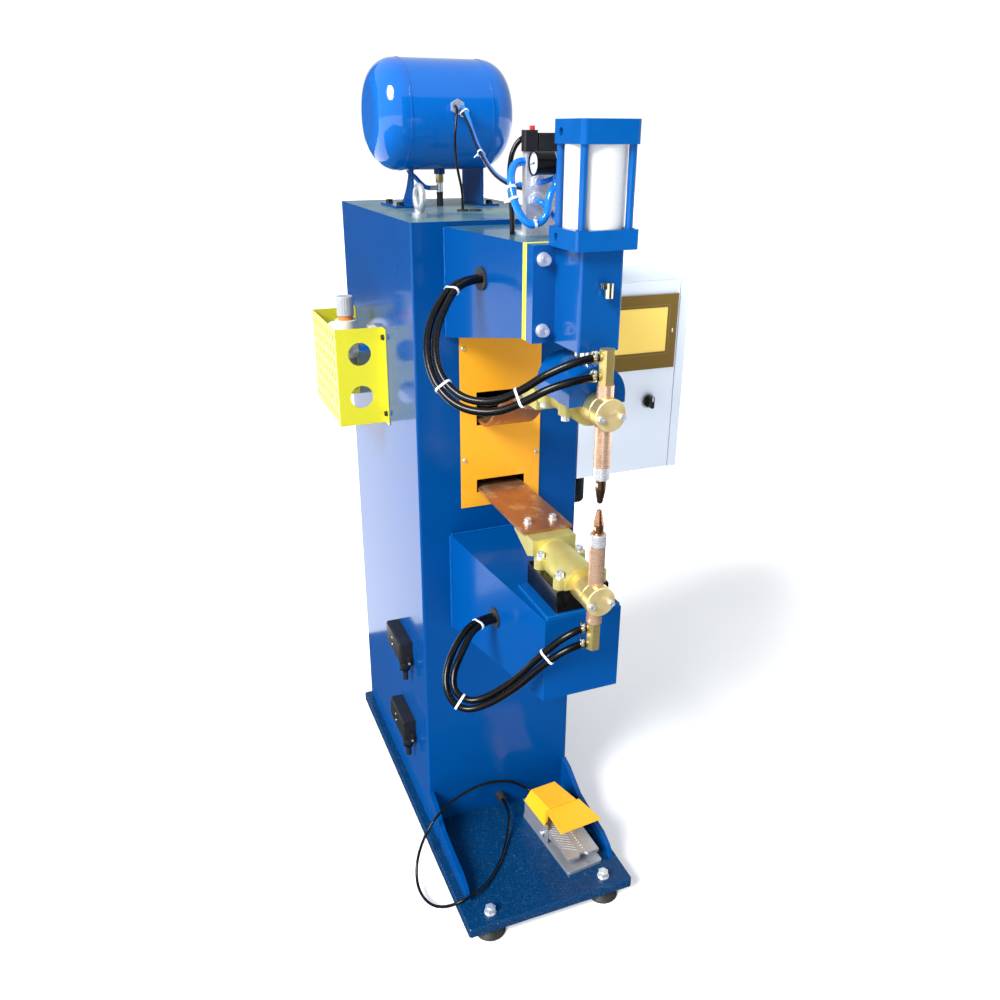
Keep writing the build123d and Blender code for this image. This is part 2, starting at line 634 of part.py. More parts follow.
AIR_LOOP = [(-48, -176, 1380), (-61, -188, 1362), (-64, -204, 1334), (-57, -216, 1306),
            (-42, -222, 1291), (-25, -225, 1296), (-16, -226, 1308), (-14, -226, 1326), (-9, -223, 1340),
            (1.5, -219, 1346)]
CAP_TUBES = [
    [(-14, -203, 1351), (7, -203, 1358), (22, -221, 1371), (24, -248, 1398), (20, -276, 1422)],
    [(-18, -203, 1325), (-8, -209, 1314), (-2, -230, 1299), (6, -256, 1288), (20, -278, 1286)],
]
VALVE_LEAD = [(-28, -169.95, 1414), (-28, -158, 1414), (-39, -154, 1403), (-47, -154, 1384), (-49, -154, 1352),
              (-45, -154, 1320), (-43, -154, 1298), (-43, -154, 1272.05)]
OUTLET_TUBE = [(REG_X + 13.4, REG_Y - 37, REG_PORT_Z), (-190, REG_Y - 38, REG_PORT_Z - 0.6),
               (-COL_W / 2 - 3.4, REG_Y - 37, REG_PORT_Z)]
RETURN_HOSE = [(-34, TANK_Y, 1315), (-44, 330, 1324), (-52, 342, 1336), (-57, 362, 1343), (-52, 392, 1346)]


def along(start, direction, distance):
    return tuple(Vector(*start) + direction * distance)


def water_route(seal, offset, loop, barb_z):
    """Hose from a seal's face, square to it, round the loop and square on to a barb's end."""
    place, normal = seal
    sideways = Vector(0, 0, 1).cross(normal)
    start = along(Vector(*place) + sideways * offset, normal, SEAL_LIFT)
    finish = (BARB_END - 0.05, WELD_Y, barb_z)
    return [start, along(start, normal, 40), *loop, (BARB_END - 24, WELD_Y, barb_z), finish]


def seal_places():
    upper_x, upper_n = arm_face(UPPER_LEN, ARM_ROOT_HW, ARM_TIP_HW, UPPER_EXIT[0])
    knee_x, knee_n = arm_face(KNEE_LEN, ARM_ROOT_HW, ARM_TIP_HW, KNEE_EXIT[0])
    return [((upper_x, *UPPER_EXIT), upper_n), ((knee_x, *KNEE_EXIT), knee_n)]


def grommets():
    seals = []
    for place, normal in seal_places():
        ring = Pos(0, 0, -9) * Cylinder(14.8, 9.1, align=UP) + Cylinder(18.5, 3.4, align=UP)
        seals.append(Plane(origin=place, z_dir=normal).location * Pos(0, 0, 0.02) * ring)
    for x, y in cable_hole_places():
        seals.append(rod_z(x, y, COL_H - TOP_T, COL_H, 8.8) + rod_z(x, y, COL_H, COL_H + 3, 11))
    gland = rod_y(2, 25, -18, -0.2, 8.5) + rod_y(2, 25, -8, -0.2, 11) + rod_y(2, 25, -1, WALL, 8.8)
    seals.append(rod_x(REG_Y - 37, REG_PORT_Z, -COL_W / 2 - 3, -COL_W / 2 - 0.02, 10))
    save("grommets", *seals, gland)


def hoses():
    upper, lower = seal_places()
    upper_z = barb_heights(UPPER_FIT_Z0, UPPER_FIT_Z1)[::-1]
    lower_z = barb_heights(LOWER_FIT_Z0, LOWER_FIT_Z1)[::-1]
    offsets = (6.8, -6.8)
    save("upper_hoses", *[tube("upper_hose", water_route(upper, *items), HOSE_D)
                          for items in zip(offsets, UPPER_LOOP, upper_z)])
    save("lower_hoses", *[tube("lower_hose", water_route(lower, *items), HOSE_D)
                          for items in zip(offsets, LOWER_LOOP, lower_z)])


def air_hoses():
    loop = [(MANIFOLD_X0 - 0.05, -176, 1380), *AIR_LOOP, (TEE_X, GAUGE_Y, TEE_Z0 - 0.05)]
    hoses = [tube("air_loop", loop, 12), tube("valve_lead", VALVE_LEAD, 8)]
    hoses.append(tube("outlet_tube", OUTLET_TUBE, 12))
    ports = [(20, CYL_Y + CYL_HW + 0.05, 1422), (20, CYL_Y + CYL_HW + 0.05, 1286)]
    for (x, z), route, port in zip(PUSH_FITTINGS, CAP_TUBES, ports):
        hoses.append(tube("cap_tube", [(x, MANIFOLD_Y0 - 8.05, z), *route, port], 8))
    boss_y = TANK_Y - TANK_R - 14.15
    starts, ends = ((2, 1463), (-4, 1456)), ((-20, 1344), (-29, 1340))
    for (x, z), route, (end_x, end_z), width in zip(starts, TANK_TUBES, ends, (8, 5)):
        hoses.append(tube("tank_tube", [(x, boss_y, z), *route, (end_x, MANIFOLD_Y1 + 0.05, end_z)], width))
    hoses.append(tube("tank_cable", [(-10, boss_y, 1464), *TANK_CABLE, (-4, 189, COL_H + 3.05)], 5))
    hoses.append(tube("return_hose", [(-26.1, TANK_Y, DRAIN_Z), *RETURN_HOSE, (-52, 392, 1361.9)], 9))
    save("air_hoses", *hoses)


def pedal_cable():
    x, y, z = PEDAL_GLAND
    gland = (PEDAL * Pos(x, y + 0.05, z)).position
    first = (PEDAL * Pos(x, y + 20, z)).position
    route = [tuple(gland), tuple(first), *PEDAL_CABLE, (2, -42, 25), (2, -18.05, 25)]
    save("pedal_cable", tube("pedal_cable", route, CABLE_D))


# ---- air tank, valve group and regulator ----
def air_tank():
    shell = rod_x(TANK_Y, TANK_Z, TANK_X0, TANK_X1, TANK_R)
    shell = fillet(shell.edges(), 52)
    for x0 in (-88, 74):
        shell += rod_x(TANK_Y, TANK_Z, x0 - 2, x0 + 2, TANK_R + 0.8)
    for x0, flange in ((-74, -1), (72, 1)):
        web = block(x0, x0 + 4, 288, 406, COL_H + 0.02, TANK_Z)
        low, high = sorted((x0 + 2, x0 + 2 + flange * 36))
        foot = block(low, high, 288, 406, COL_H + 0.02, COL_H + 4)
        if flange < 0:
            web -= Pos(x0 - 1, 420, COL_H + 112) * Rot(0, 90, 0) * Cylinder(118, 12, align=UP)
            web -= block(x0 - 1, x0 + 5, 330, 410, COL_H + 112, TANK_Z - 1)
        bracket = web + foot
        for x, y in tank_bolt_places():
            bracket -= rod_z(x, y, COL_H - 1, COL_H + 6, 4.2)
        shell += bracket
    shell += rod_y(-3, 1463, TANK_Y - TANK_R - 6, TANK_Y - TANK_R + 12, 12)
    shell += rod_z(-5, TANK_Y, TANK_Z - TANK_R - 8, TANK_Z - TANK_R + 8, 11)
    shell += rod_z(-52, 392, 1362, 1388, 8)
    save("air_tank", shell)


DRAIN_Z = TANK_Z - TANK_R - 34


def tank_fittings():
    front_y = TANK_Y - TANK_R - 6.1
    front = hex_nut((-3, front_y, 1463), (0, -1, 0), 24, 8)
    low_z = TANK_Z - TANK_R - 8.1
    drain = hex_nut((-5, TANK_Y, low_z), (0, 0, -1), 14, 16) + rod_z(-5, TANK_Y, DRAIN_Z - 8, low_z - 14, 6)
    drain += rod_x(TANK_Y, DRAIN_Z, -26, -5, 4.5)
    tail = rod_z(-5, TANK_Y, COL_H + 0.02, DRAIN_Z - 8.02, 6.5)
    save("tank_fittings", front, drain, tail)


def hex_head(at, direction, shank_r, shank_len):
    """Hexagon-head bolt with a washer: its head stands along direction from at."""
    bolt = Pos(0, 0, -shank_len) * Cylinder(shank_r, shank_len + 1, align=UP)
    bolt += Cylinder(2 * shank_r, 1.5, align=UP)
    bolt += Pos(0, 0, 1.5) * extrude(RegularPolygon(1.6 * shank_r, 6, major_radius=False), 1.3 * shank_r)
    return Plane(origin=at, z_dir=direction).location * bolt


def black_bolts():
    bolts = [hex_head((x, y, COL_H + 4), (0, 0, 1), 4, 16) for x, y in tank_bolt_places()]
    bolts += [hex_head((-COL_W / 2 - 2.3, y, z), (-1, 0, 0), 3, 10) for y, z in guard_bolt_places()]
    save("black_bolts", *bolts)


def structure_fasteners():
    parts = []
    for x, y in foot_places():
        parts.append(rod_z(x, y, 0, 2.5, 12) - rod_z(x, y, -1, 3, 6.1))
        parts.append(hex_nut((x, y, 2.6), (0, 0, 1), 19, 10, 6.1))
    for x, z in head_bolt_places():
        parts.append(socket_screw((x, FLANGE_FRONT, z), (0, -1, 0), 5, FLANGE_T + GASKET_T + 10))
    for x, y, z in panel_screw_places():
        parts.append(dome_screw((x, -2.2, z), (0, -1, 0), 2, 8))
    for x, z in rear_screw_places():
        parts.append(dome_screw((x, COL_D + 2.2, z), (0, 1, 0), 2.5, 8))
    save("structure_fasteners", *parts)


def dome_screw(at, direction, shank_r, shank_len):
    screw = Pos(0, 0, -shank_len) * Cylinder(shank_r, shank_len + 1, align=UP)
    head = Cylinder(2 * shank_r, 1.4 * shank_r, align=UP)
    head = fillet(head.edges().sort_by(Axis.Z)[-1], 0.9 * shank_r)
    return Plane(origin=at, z_dir=direction).location * (screw + head)


MANIFOLD_X0, MANIFOLD_X1, MANIFOLD_Y0, MANIFOLD_Y1 = -33, 51, -184, -168
PUSH_FITTINGS = [(-14, 1351), (-18, 1325)]
GAUGE_X0, GAUGE_Y, GAUGE_Z = -38, -219, 1379
TEE_X, TEE_Z0 = 1.5, 1364.5


def valve_bracket():
    """Silver manifold block on its foot, with the two push-in fittings on its front."""
    body = block(MANIFOLD_X0, MANIFOLD_X1, MANIFOLD_Y0, MANIFOLD_Y1, UPPER_TOP_Z + 0.02, 1394)
    body += block(MANIFOLD_X0 - 4, MANIFOLD_X1, MANIFOLD_Y1 - 1, MANIFOLD_Y1 + 30, UPPER_TOP_Z + 0.02, 1276)
    for x, z in PUSH_FITTINGS:
        body += hex_nut((x, MANIFOLD_Y0 + 0.5, z), (0, -1, 0), 19, 5.5)
        body += rod_y(x, z, MANIFOLD_Y0 - 8, MANIFOLD_Y0, 7.5)
    save("valve_bracket", body)


def solenoid_valve():
    top = 1394.05
    body = block(-14, 60, MANIFOLD_Y0 - 2, MANIFOLD_Y1 + 12, top, 1420)
    coil = block(-37, -15, MANIFOLD_Y0 - 2, MANIFOLD_Y1 - 2, top, 1424)
    coil = fillet(coil.edges().filter_by(Axis.Z), 3)
    cap = rod_z(-22, -178, 1423, 1430, 4)
    stem = rod_x(-176, 1408, -20, -10, 7)
    save("solenoid_valve", body + coil + cap + stem)


def pressure_gauge():
    case = rod_x(GAUGE_Y, GAUGE_Z, GAUGE_X0, GAUGE_X0 + 31, 16.6)
    case += rod_x(GAUGE_Y, GAUGE_Z, GAUGE_X0, GAUGE_X0 + 4, 17.8)
    case -= rod_x(GAUGE_Y, GAUGE_Z, GAUGE_X0 - 1, GAUGE_X0 + 2.5, 16)
    tee = block(TEE_X - 7, TEE_X + 7, GAUGE_Y - 7, GAUGE_Y + 7, TEE_Z0, TEE_Z0 + 20)
    stem = rod_x(GAUGE_Y, TEE_Z0 + 10.5, GAUGE_X0 + 30, TEE_X - 6, 5)
    tail = rod_y(TEE_X, TEE_Z0 + 10.5, GAUGE_Y, MANIFOLD_Y0 - 0.05, 5)
    save("pressure_gauge", case + tee + stem + tail)


def regulator_body():
    head = rod_z(REG_X, REG_Y, 998, 1072, 22)
    cross = rod_x(REG_Y, 1038, REG_X - 26, REG_X + 46, 12)
    neck = rod_z(REG_X, REG_Y, 1071, 1080, 15)
    bowl = rod_z(REG_X, REG_Y, 928, 999, 19)
    bowl = fillet(bowl.edges().sort_by(Axis.Z)[0], 8)
    mount = block(REG_X + 44, -COL_W / 2 - 0.3, REG_Y - 16, REG_Y + 16, 1020, 1056)
    inlet = rod_y(REG_X, REG_PORT_Z, REG_Y, REG_Y + 42, 10)
    outlet = rod_y(REG_X, REG_PORT_Z, REG_Y - 44, REG_Y, 9) + rod_x(REG_Y - 37, REG_PORT_Z, REG_X, REG_X + 13, 8)
    body = head + cross + neck + bowl + mount + inlet + outlet
    save("regulator_body", body - rod_y(REG_X, REG_PORT_Z, REG_Y + 30, REG_Y + 43, 5.9))


def regulator_knob():
    knob = rod_z(REG_X, REG_Y, 1081, 1119, 17)
    knob = fillet(knob.edges().sort_by(Axis.Z)[-1], 2)
    for step in range(18):
        angle = math.radians(20 * step)
        knob -= rod_z(REG_X + 17.6 * math.cos(angle), REG_Y + 17.6 * math.sin(angle), 1086, 1114, 1.1)
    save("regulator_knob", knob)


def regulator_guard():
    sheet = 2
    left = block(GUARD_X, GUARD_X + sheet, GUARD_Y0, GUARD_Y1, GUARD_Z0, GUARD_Z1)
    for row in range(7):
        for column in range(8):
            y = GUARD_Y0 + 24 + 27 * column
            z = GUARD_Z0 + 19 + 26.5 * row
            left -= block(GUARD_X - 1, GUARD_X + 3, y - 5, y + 5, z - 7.5, z + 7.5)
    guard = left
    wall_x = -COL_W / 2 - 0.3
    for y0, flange_y in ((GUARD_Y0, GUARD_Y0 - 24), (GUARD_Y1 - sheet, GUARD_Y1)):
        guard += block(GUARD_X, wall_x, y0, y0 + sheet, GUARD_Z0, GUARD_Z1)
        guard += block(wall_x - sheet, wall_x, flange_y, flange_y + 24, GUARD_Z0, GUARD_Z1)
    for z in (926, 1013):
        guard -= rod_y(-214, z, GUARD_Y0 - 5, GUARD_Y1 + 5, 23)
    for y, z in guard_bolt_places():
        guard -= rod_x(y, z, wall_x - 5, wall_x + 1, 3.2)
    save("regulator_guard", guard)


def connector_hoods():
    hoods = []
    for top in (414, 213):
        box = block(-194, -COL_W / 2 - 0.3, 89, 196, top - 48, top)
        box = chamfer(box.edges().group_by(Axis.X)[0], 3)
        base = block(-177, -COL_W / 2 - 0.3, 82, 203, top - 53, top - 46)
        boss = Pos(-181, 97, top - 48) * Cone(9, 13, 20, align=(Align.CENTER, Align.CENTER, Align.MAX))
        cord = rod_z(-181, 97, top - 92, top - 60, 6)
        hoods.append(box + base + boss + cord)
    save("connector_hoods", *hoods)


# ---- control cabinet ----
def cabinet_body():
    body = block(CAB_X0, CAB_X1, CAB_Y0, CAB_Y0 + CAB_D, CAB_Z0, CAB_Z1)
    body -= block(CAB_X0 + 2, DOOR_X1 - 6, CAB_Y0 - 1, CAB_Y0 + CAB_D - 2, CAB_Z0 + 16, CAB_Z1 - 16)
    body += block(DOOR_X1 + 1, CAB_X1, CAB_Y0 - DOOR_T, CAB_Y0 + 1, CAB_Z0, CAB_Z1)
    elbow = rod_z(203, 66, 706, CAB_Z0 + 0.1, 13)
    elbow += rod_x(66, 706, COL_W / 2 + 0.3, 203, 13) + Pos(203, 66, 706) * Sphere(13)
    save("cabinet_body", body + elbow)


def hmi_box(grow=0):
    return block(176 - grow, 367 + grow, CAB_Y0 - DOOR_T - 1, CAB_Y0 + 20, 991 - grow, 1129 + grow)


def cabinet_door():
    y0 = CAB_Y0 - DOOR_T
    door = block(CAB_X0 + 1, DOOR_X1, y0, CAB_Y0 - 0.4, CAB_Z0 + 1, CAB_Z1 - 1)
    door = fillet(door.faces().sort_by(Axis.Y)[0].edges(), 1.5)
    door -= block(CAB_X0 + 3, DOOR_X1 - 2, y0 + 2, CAB_Y0 + 1, CAB_Z0 + 3, CAB_Z1 - 3)
    door -= hmi_box(0.3)
    door -= rod_y(319, 922, y0 - 1, y0 + 3, 11.2)
    save("cabinet_door", door, selector_collar(y0))


def hmi_panel():
    y0 = CAB_Y0 - DOOR_T
    bezel = block(171.5, 371.5, y0 - 6, y0 - 0.02, 987, 1133)
    bezel = fillet(bezel.faces().sort_by(Axis.Y)[0].edges(), 1.5)
    bezel -= block(194.5, 348.5, y0 - 7, y0 - 5, 1021, 1108)
    inner = block(176, 367, y0 - 0.1, CAB_Y0 + 18, 991, 1129)
    save("hmi_panel", bezel + inner)


def selector_knob():
    y0 = CAB_Y0 - DOOR_T
    shaft = rod_y(319, 922, y0 - 4.1, y0 + 40, 8)
    ring = rod_y(319, 922, y0 - 9, y0 - 4.1, 12)
    grip = block(319 - 4, 319 + 4, y0 - 22, y0 - 9, 922 - 12, 922 + 12)
    save("selector_knob", shaft + ring + fillet(grip.edges().filter_by(Axis.Y), 3))


def selector_collar(face):
    """Fixed bezel ring and sleeve that hold the selector in the door, whose front is at y = face."""
    ring = rod_y(319, 922, face - 4, face - 0.02, 15) + rod_y(319, 922, face - 1, face + 30, 11)
    return ring - rod_y(319, 922, face - 5, face + 31, 8.06)


# ---- foot pedal ----
HOOD_Z = 55
PEDAL_GLAND = (30, 2, 44)


def pedal_base():
    floor_pan = block(0, PEDAL_W, -PEDAL_L, 0, 0.05, 7)
    floor_pan = fillet(floor_pan.edges().filter_by(Axis.Z), 6)
    ears = [block(x0, x0 + 4, -106, -8, 6.9, HOOD_Z) for x0 in (0, PEDAL_W - 4)]
    rims = [block(x0, x0 + 8, -106, -8, HOOD_Z - 4, HOOD_Z) for x0 in (-4, PEDAL_W - 4)]
    back = block(0, PEDAL_W, -50, -8, 6.9, HOOD_Z)
    body = floor_pan + back + ears[0] + ears[1] + rims[0] + rims[1]
    body += rod_x(PIN_Y, PIN_Z, -8, PEDAL_W + 8, PIN_R)
    x, y, z = PEDAL_GLAND
    body += rod_y(x, z, -12, y, 6.5)
    body -= rod_z(PEDAL_W / 2 + 14, -188, -1, 8, 2.4)
    save("pedal_base", PEDAL * body)


def pedal_treadle():
    """Cast treadle: a chevron-ribbed plate on two cheeks that turn on the pin."""
    outline = [(-188, 25), (-188, 32), (-74, 44), (-60, 44), (-60, 37), (-74, 37)]
    plate = prism_x(outline, 5, PEDAL_W - 5)
    for x0 in (5, PEDAL_W - 9):
        plate += prism_x([(-150, 29), (-106, 22), (-86, 18), (-78, 28), (-80, 40)], x0, x0 + 4)
        plate += rod_x(PIN_Y, PIN_Z, x0, x0 + 4, 8)
    plate -= rod_x(PIN_Y, PIN_Z, 0, PEDAL_W, PIN_R + 0.06)
    plate -= Pos(PEDAL_W / 2, -190, 20) * Cylinder(10, 30, align=UP)
    slope = math.degrees(math.atan2(12, 114))
    for row in range(12):
        for side in (-1, 1):
            rib = Pos(side * 20, 0, 0) * Rot(0, 0, side * 33) * Box(34, 2.2, 2.4)
            middle_y = -84 - 7.2 * row
            middle_z = 32 + (middle_y + 188) * 12 / 114
            if middle_y > -172:
                plate += Pos(PEDAL_W / 2, middle_y, middle_z) * Rot(slope, 0, 0) * rib
    save("pedal_treadle", PEDAL * plate)


def slanted_box(rear, front):
    """Ruled box between two upright ends, each (y, low half-width, low z, high half-width, high z)."""
    ends = []
    for y, low, z0, high, z1 in (rear, front):
        middle = PEDAL_W / 2
        corners = [(middle - low, y, z0), (middle + low, y, z0), (middle + high, y, z1), (middle - high, y, z1)]
        ends.append(Wire(Polyline(*corners, close=True).edges()))
    return Solid.make_loft(ends, ruled=True)


def pedal_hood():
    """Guard over the treadle: a raised box at the back and a flap over the foot's place."""
    box = slanted_box((-14, 46, HOOD_Z + 0.02, 30, 79), (-100, 46, HOOD_Z + 0.02, 33, 95))
    inside = slanted_box((-17, 42.6, HOOD_Z - 1, 27, 76), (-101, 42.6, HOOD_Z - 1, 29.6, 91.6))
    flap = slanted_box((-98, 41, 88.6, 41, 92), (-173, 48, 92.6, 48, 96))
    collar = slanted_box((-98, 44, HOOD_Z + 6, 41, 92), (-101, 44, HOOD_Z + 6, 41, 92))
    window = slanted_box((-97, 40, HOOD_Z - 1, 34, 88.5), (-102, 40, HOOD_Z - 1, 34, 88.5))
    save("pedal_hood", PEDAL * (box - inside + (collar - window) + flap))


def main():
    for build in (base_plate, levelling_feet, gussets, column_shell, rear_cover, upper_arm, lower_knee,
                  front_panel, lifting_eyes, welding_transformer, thyristor_module, head_gasket,
                  head_housing, cylinder_caps, cylinder_barrel, tie_rods, oil_cup, oil_cup_lid, ram_rods,
                  ram_block, upper_saddle, upper_arm_bar, upper_screws, insulator_block, lower_bus_bar,
                  lower_screws, upper_shunt, grommets, hoses, air_hoses, pedal_cable, air_tank, tank_fittings, black_bolts,
                  structure_fasteners, valve_bracket, solenoid_valve, pressure_gauge, regulator_body,
                  regulator_knob, regulator_guard, connector_hoods, cabinet_body, cabinet_door, hmi_panel,
                  selector_knob, pedal_base, pedal_treadle, pedal_hood):
        build()
    save("upper_clamp_cap", clamp_cap(UPPER_BAR_Z))
    save("lower_arm", bar(LOWER_BAR_Z))
    save("lower_clamp_cap", clamp_cap(LOWER_BAR_Z))
    save("lower_saddle", saddle(LOWER_BAR_Z, 1))
    electrode("upper", UPPER_TIP_Z, -1, UPPER_FIT_Z0)
    electrode("lower", LOWER_TIP_Z, 1, LOWER_FIT_Z1)
    save("upper_water_fitting", water_fitting(UPPER_FIT_Z0 + 0.02, UPPER_FIT_Z1))
    save("lower_water_fitting", water_fitting(LOWER_FIT_Z0, LOWER_FIT_Z1 - 0.02))


main()
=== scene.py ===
"""Looks for the pneumatic spot welder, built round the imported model.

Sizes are in millimetres in the machine frame of part.py (zero at the middle of the column's front
face, on the base plate) and P() turns them into the row frame's metres.
"""
import json
import math
import bmesh
import bpy
from mathutils import Matrix, Vector, noise

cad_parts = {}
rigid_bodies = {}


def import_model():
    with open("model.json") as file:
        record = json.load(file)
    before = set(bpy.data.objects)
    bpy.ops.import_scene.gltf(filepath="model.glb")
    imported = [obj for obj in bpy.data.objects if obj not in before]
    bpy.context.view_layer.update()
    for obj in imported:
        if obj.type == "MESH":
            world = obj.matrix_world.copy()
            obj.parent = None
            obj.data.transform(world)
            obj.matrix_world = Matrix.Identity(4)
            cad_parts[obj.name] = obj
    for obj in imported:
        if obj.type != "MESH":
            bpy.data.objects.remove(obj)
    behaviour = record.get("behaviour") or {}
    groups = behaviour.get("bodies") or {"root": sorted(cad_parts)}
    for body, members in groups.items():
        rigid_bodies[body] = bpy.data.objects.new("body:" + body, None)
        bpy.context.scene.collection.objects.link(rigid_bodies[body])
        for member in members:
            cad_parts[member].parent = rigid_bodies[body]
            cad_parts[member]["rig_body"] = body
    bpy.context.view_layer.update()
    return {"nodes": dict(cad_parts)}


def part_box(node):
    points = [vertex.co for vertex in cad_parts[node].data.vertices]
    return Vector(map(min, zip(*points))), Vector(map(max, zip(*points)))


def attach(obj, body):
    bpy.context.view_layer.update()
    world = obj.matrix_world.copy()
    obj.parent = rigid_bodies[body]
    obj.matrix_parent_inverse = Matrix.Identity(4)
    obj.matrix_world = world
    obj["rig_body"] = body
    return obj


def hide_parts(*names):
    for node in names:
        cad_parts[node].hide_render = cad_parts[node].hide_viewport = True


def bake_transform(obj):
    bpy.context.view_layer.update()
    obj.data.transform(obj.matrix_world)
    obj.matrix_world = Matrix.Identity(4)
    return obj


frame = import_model()

X_MID, Y_MID, FLOOR_Z = 68.5, 53.5, -44
MM = 0.001


def P(x, y, z):
    return Vector(((x - X_MID) * MM, (y - Y_MID) * MM, (z - FLOOR_Z) * MM))


def points(*spots):
    return [P(*spot) for spot in spots]


# ---- camera, floor and light ----
CAMERA_PLACE = (-597, -1493, 1424)
CAMERA_TURN = (0.3801, 0.3954, 0.0037)
LENS = 31.938
KEY_DIRECTION = (0.72, 0.34, -0.60)
KEY_ENERGY, KEY_ANGLE = 5.6, 0.45
SKY_COLOUR, SKY_STRENGTH = (0.94, 0.97, 1.0, 1), 0.66
FLOOR_GLOW = 0.25


def make_camera():
    yaw, pitch, roll = CAMERA_TURN
    forward = Vector((math.sin(yaw) * math.cos(pitch), math.cos(yaw) * math.cos(pitch), -math.sin(pitch)))
    right = Vector((math.cos(yaw), -math.sin(yaw), 0))
    up = right.cross(forward)
    side = right * math.cos(roll) + up * math.sin(roll)
    top = up * math.cos(roll) - right * math.sin(roll)
    camera = bpy.data.objects.new("camera", bpy.data.cameras.new("camera"))
    bpy.context.scene.collection.objects.link(camera)
    camera.data.sensor_width = 36
    camera.data.lens = LENS
    camera.data.clip_end = 50
    turn = Matrix((side, top, -forward)).transposed().to_4x4()
    camera.matrix_world = Matrix.Translation(P(*CAMERA_PLACE)) @ turn
    bpy.context.scene.camera = camera


def key_light():
    """One large soft lamp, high on the left and a little in front."""
    data = bpy.data.lights.new("key", "SUN")
    data.energy = KEY_ENERGY
    data.angle = KEY_ANGLE
    light = bpy.data.objects.new("key", data)
    bpy.context.scene.collection.objects.link(light)
    light.rotation_mode = "QUATERNION"
    light.rotation_quaternion = Vector(KEY_DIRECTION).to_track_quat("-Z", "Y")


def make_studio():
    world = bpy.data.worlds.new("studio")
    bpy.context.scene.world = world
    world.use_nodes = True
    ambient = world.node_tree.nodes["Background"]
    ambient.inputs["Color"].default_value = SKY_COLOUR
    ambient.inputs["Strength"].default_value = SKY_STRENGTH
    bpy.context.scene.view_settings.view_transform = "Standard"
    key_light()
    ground = flat_piece("floor", (-30, -30, 0), (60, 0, 0), (0, 60, 0))
    pale = surface("floor_pale", (0.92, 0.92, 0.92), (0.90, 0.90, 0.90), rough=(0.6, 0.75), blotch=1.5, grain=60,
                   bump=0.01, spec=0.1)
    lit = pale.node_tree.nodes["Principled BSDF"]
    lit.inputs["Emission Color"].default_value = (1, 1, 1, 1)
    lit.inputs["Emission Strength"].default_value = FLOOR_GLOW
    ground.data.materials.append(pale)
    white = bpy.data.materials.new("backdrop_white")
    white.use_nodes = True
    glow = white.node_tree.nodes["Principled BSDF"]
    glow.inputs["Base Color"].default_value = (0, 0, 0, 1)
    glow.inputs["Emission Color"].default_value = (1, 1, 1, 1)
    glow.inputs["Emission Strength"].default_value = 1.0
    for number, (corner, along, up) in enumerate((
            ((-30, 20, -1), (60, 0, 0), (0, 0, 40)), ((-30, -20, -1), (60, 0, 0), (0, 0, 40)),
            ((-25, -25, -1), (0, 50, 0), (0, 0, 40)), ((25, -25, -1), (0, 50, 0), (0, 0, 40)))):
        wall = flat_piece(f"backdrop_{number}", corner, along, up)
        wall.data.materials.append(white)
        wall.visible_diffuse = wall.visible_glossy = wall.visible_shadow = wall.visible_transmission = False
    dark = surface("card_dark", (0.02, 0.02, 0.022), (0.03, 0.03, 0.032), rough=(0.8, 0.9), blotch=2, grain=50)
    for number, (corner, along, up) in enumerate((
            ((-4, -3.2, 0.003), (6.7, 0, 0), (0, 4.05, 0)), ((-0.9, -3.2, 0), (3.6, 0, 0), (0, 0, 4)),
            ((-4, 3.0, 0.62), (3.6, 0, 0), (0, 0, 2.5)))):
        card = flat_piece(f"card_{number}", corner, along, up)
        card.data.materials.append(dark)
        card.visible_camera = card.visible_diffuse = card.visible_shadow = False


def flat_piece(name, corner, along, up):
    """Flat stage piece, seen by the camera, by reflections or by both."""
    corner, along, up = Vector(corner), Vector(along), Vector(up)
    mesh = bpy.data.meshes.new(name)
    mesh.from_pydata([corner, corner + along, corner + along + up, corner + up], [], [(0, 1, 2, 3)])
    flat = add(name, mesh)
    return flat


# ---- materials ----
def add(name, mesh):
    obj = bpy.data.objects.new(name, mesh)
    bpy.context.scene.collection.objects.link(obj)
    return obj


class Shade:
    """A material's node tree, with short calls for the nodes that are used often."""

    def __init__(self, name):
        self.material = bpy.data.materials.new(name)
        self.material.use_nodes = True
        self.tree = self.material.node_tree
        self.shader = self.tree.nodes["Principled BSDF"]
        self.where = self.node("TexCoord").outputs["Object"]

    def node(self, kind, **settings):
        made = self.tree.nodes.new("ShaderNode" + kind)
        for key, value in settings.items():
            setattr(made, key, value)
        return made

    def link(self, start, end):
        self.tree.links.new(start, end)

    def scaled(self, stretch, shift=(0, 0, 0)):
        mapping = self.node("Mapping")
        mapping.inputs["Location"].default_value = shift
        mapping.inputs["Scale"].default_value = stretch
        self.link(self.where, mapping.inputs["Vector"])
        return mapping.outputs["Vector"]

    def noise(self, scale, vector, detail=4, rough=0.5):
        made = self.node("TexNoise")
        made.inputs["Scale"].default_value = scale
        made.inputs["Detail"].default_value = detail
        made.inputs["Roughness"].default_value = rough
        self.link(vector, made.inputs["Vector"])
        return made.outputs["Fac"]

    def ramp(self, value, low, high, to_low=0.0, to_high=1.0):
        made = self.node("MapRange")
        for key, number in zip(("From Min", "From Max", "To Min", "To Max"), (low, high, to_low, to_high)):
            made.inputs[key].default_value = number
        self.link(value, made.inputs["Value"])
        return made.outputs["Result"]

    def mix(self, factor, first, second):
        made = self.node("Mix", data_type="RGBA")
        self.link(factor, made.inputs["Factor"])
        for socket, colour in ((made.inputs[6], first), (made.inputs[7], second)):
            if isinstance(colour, tuple):
                socket.default_value = (*colour, 1)
            else:
                self.link(colour, socket)
        return made.outputs[2]


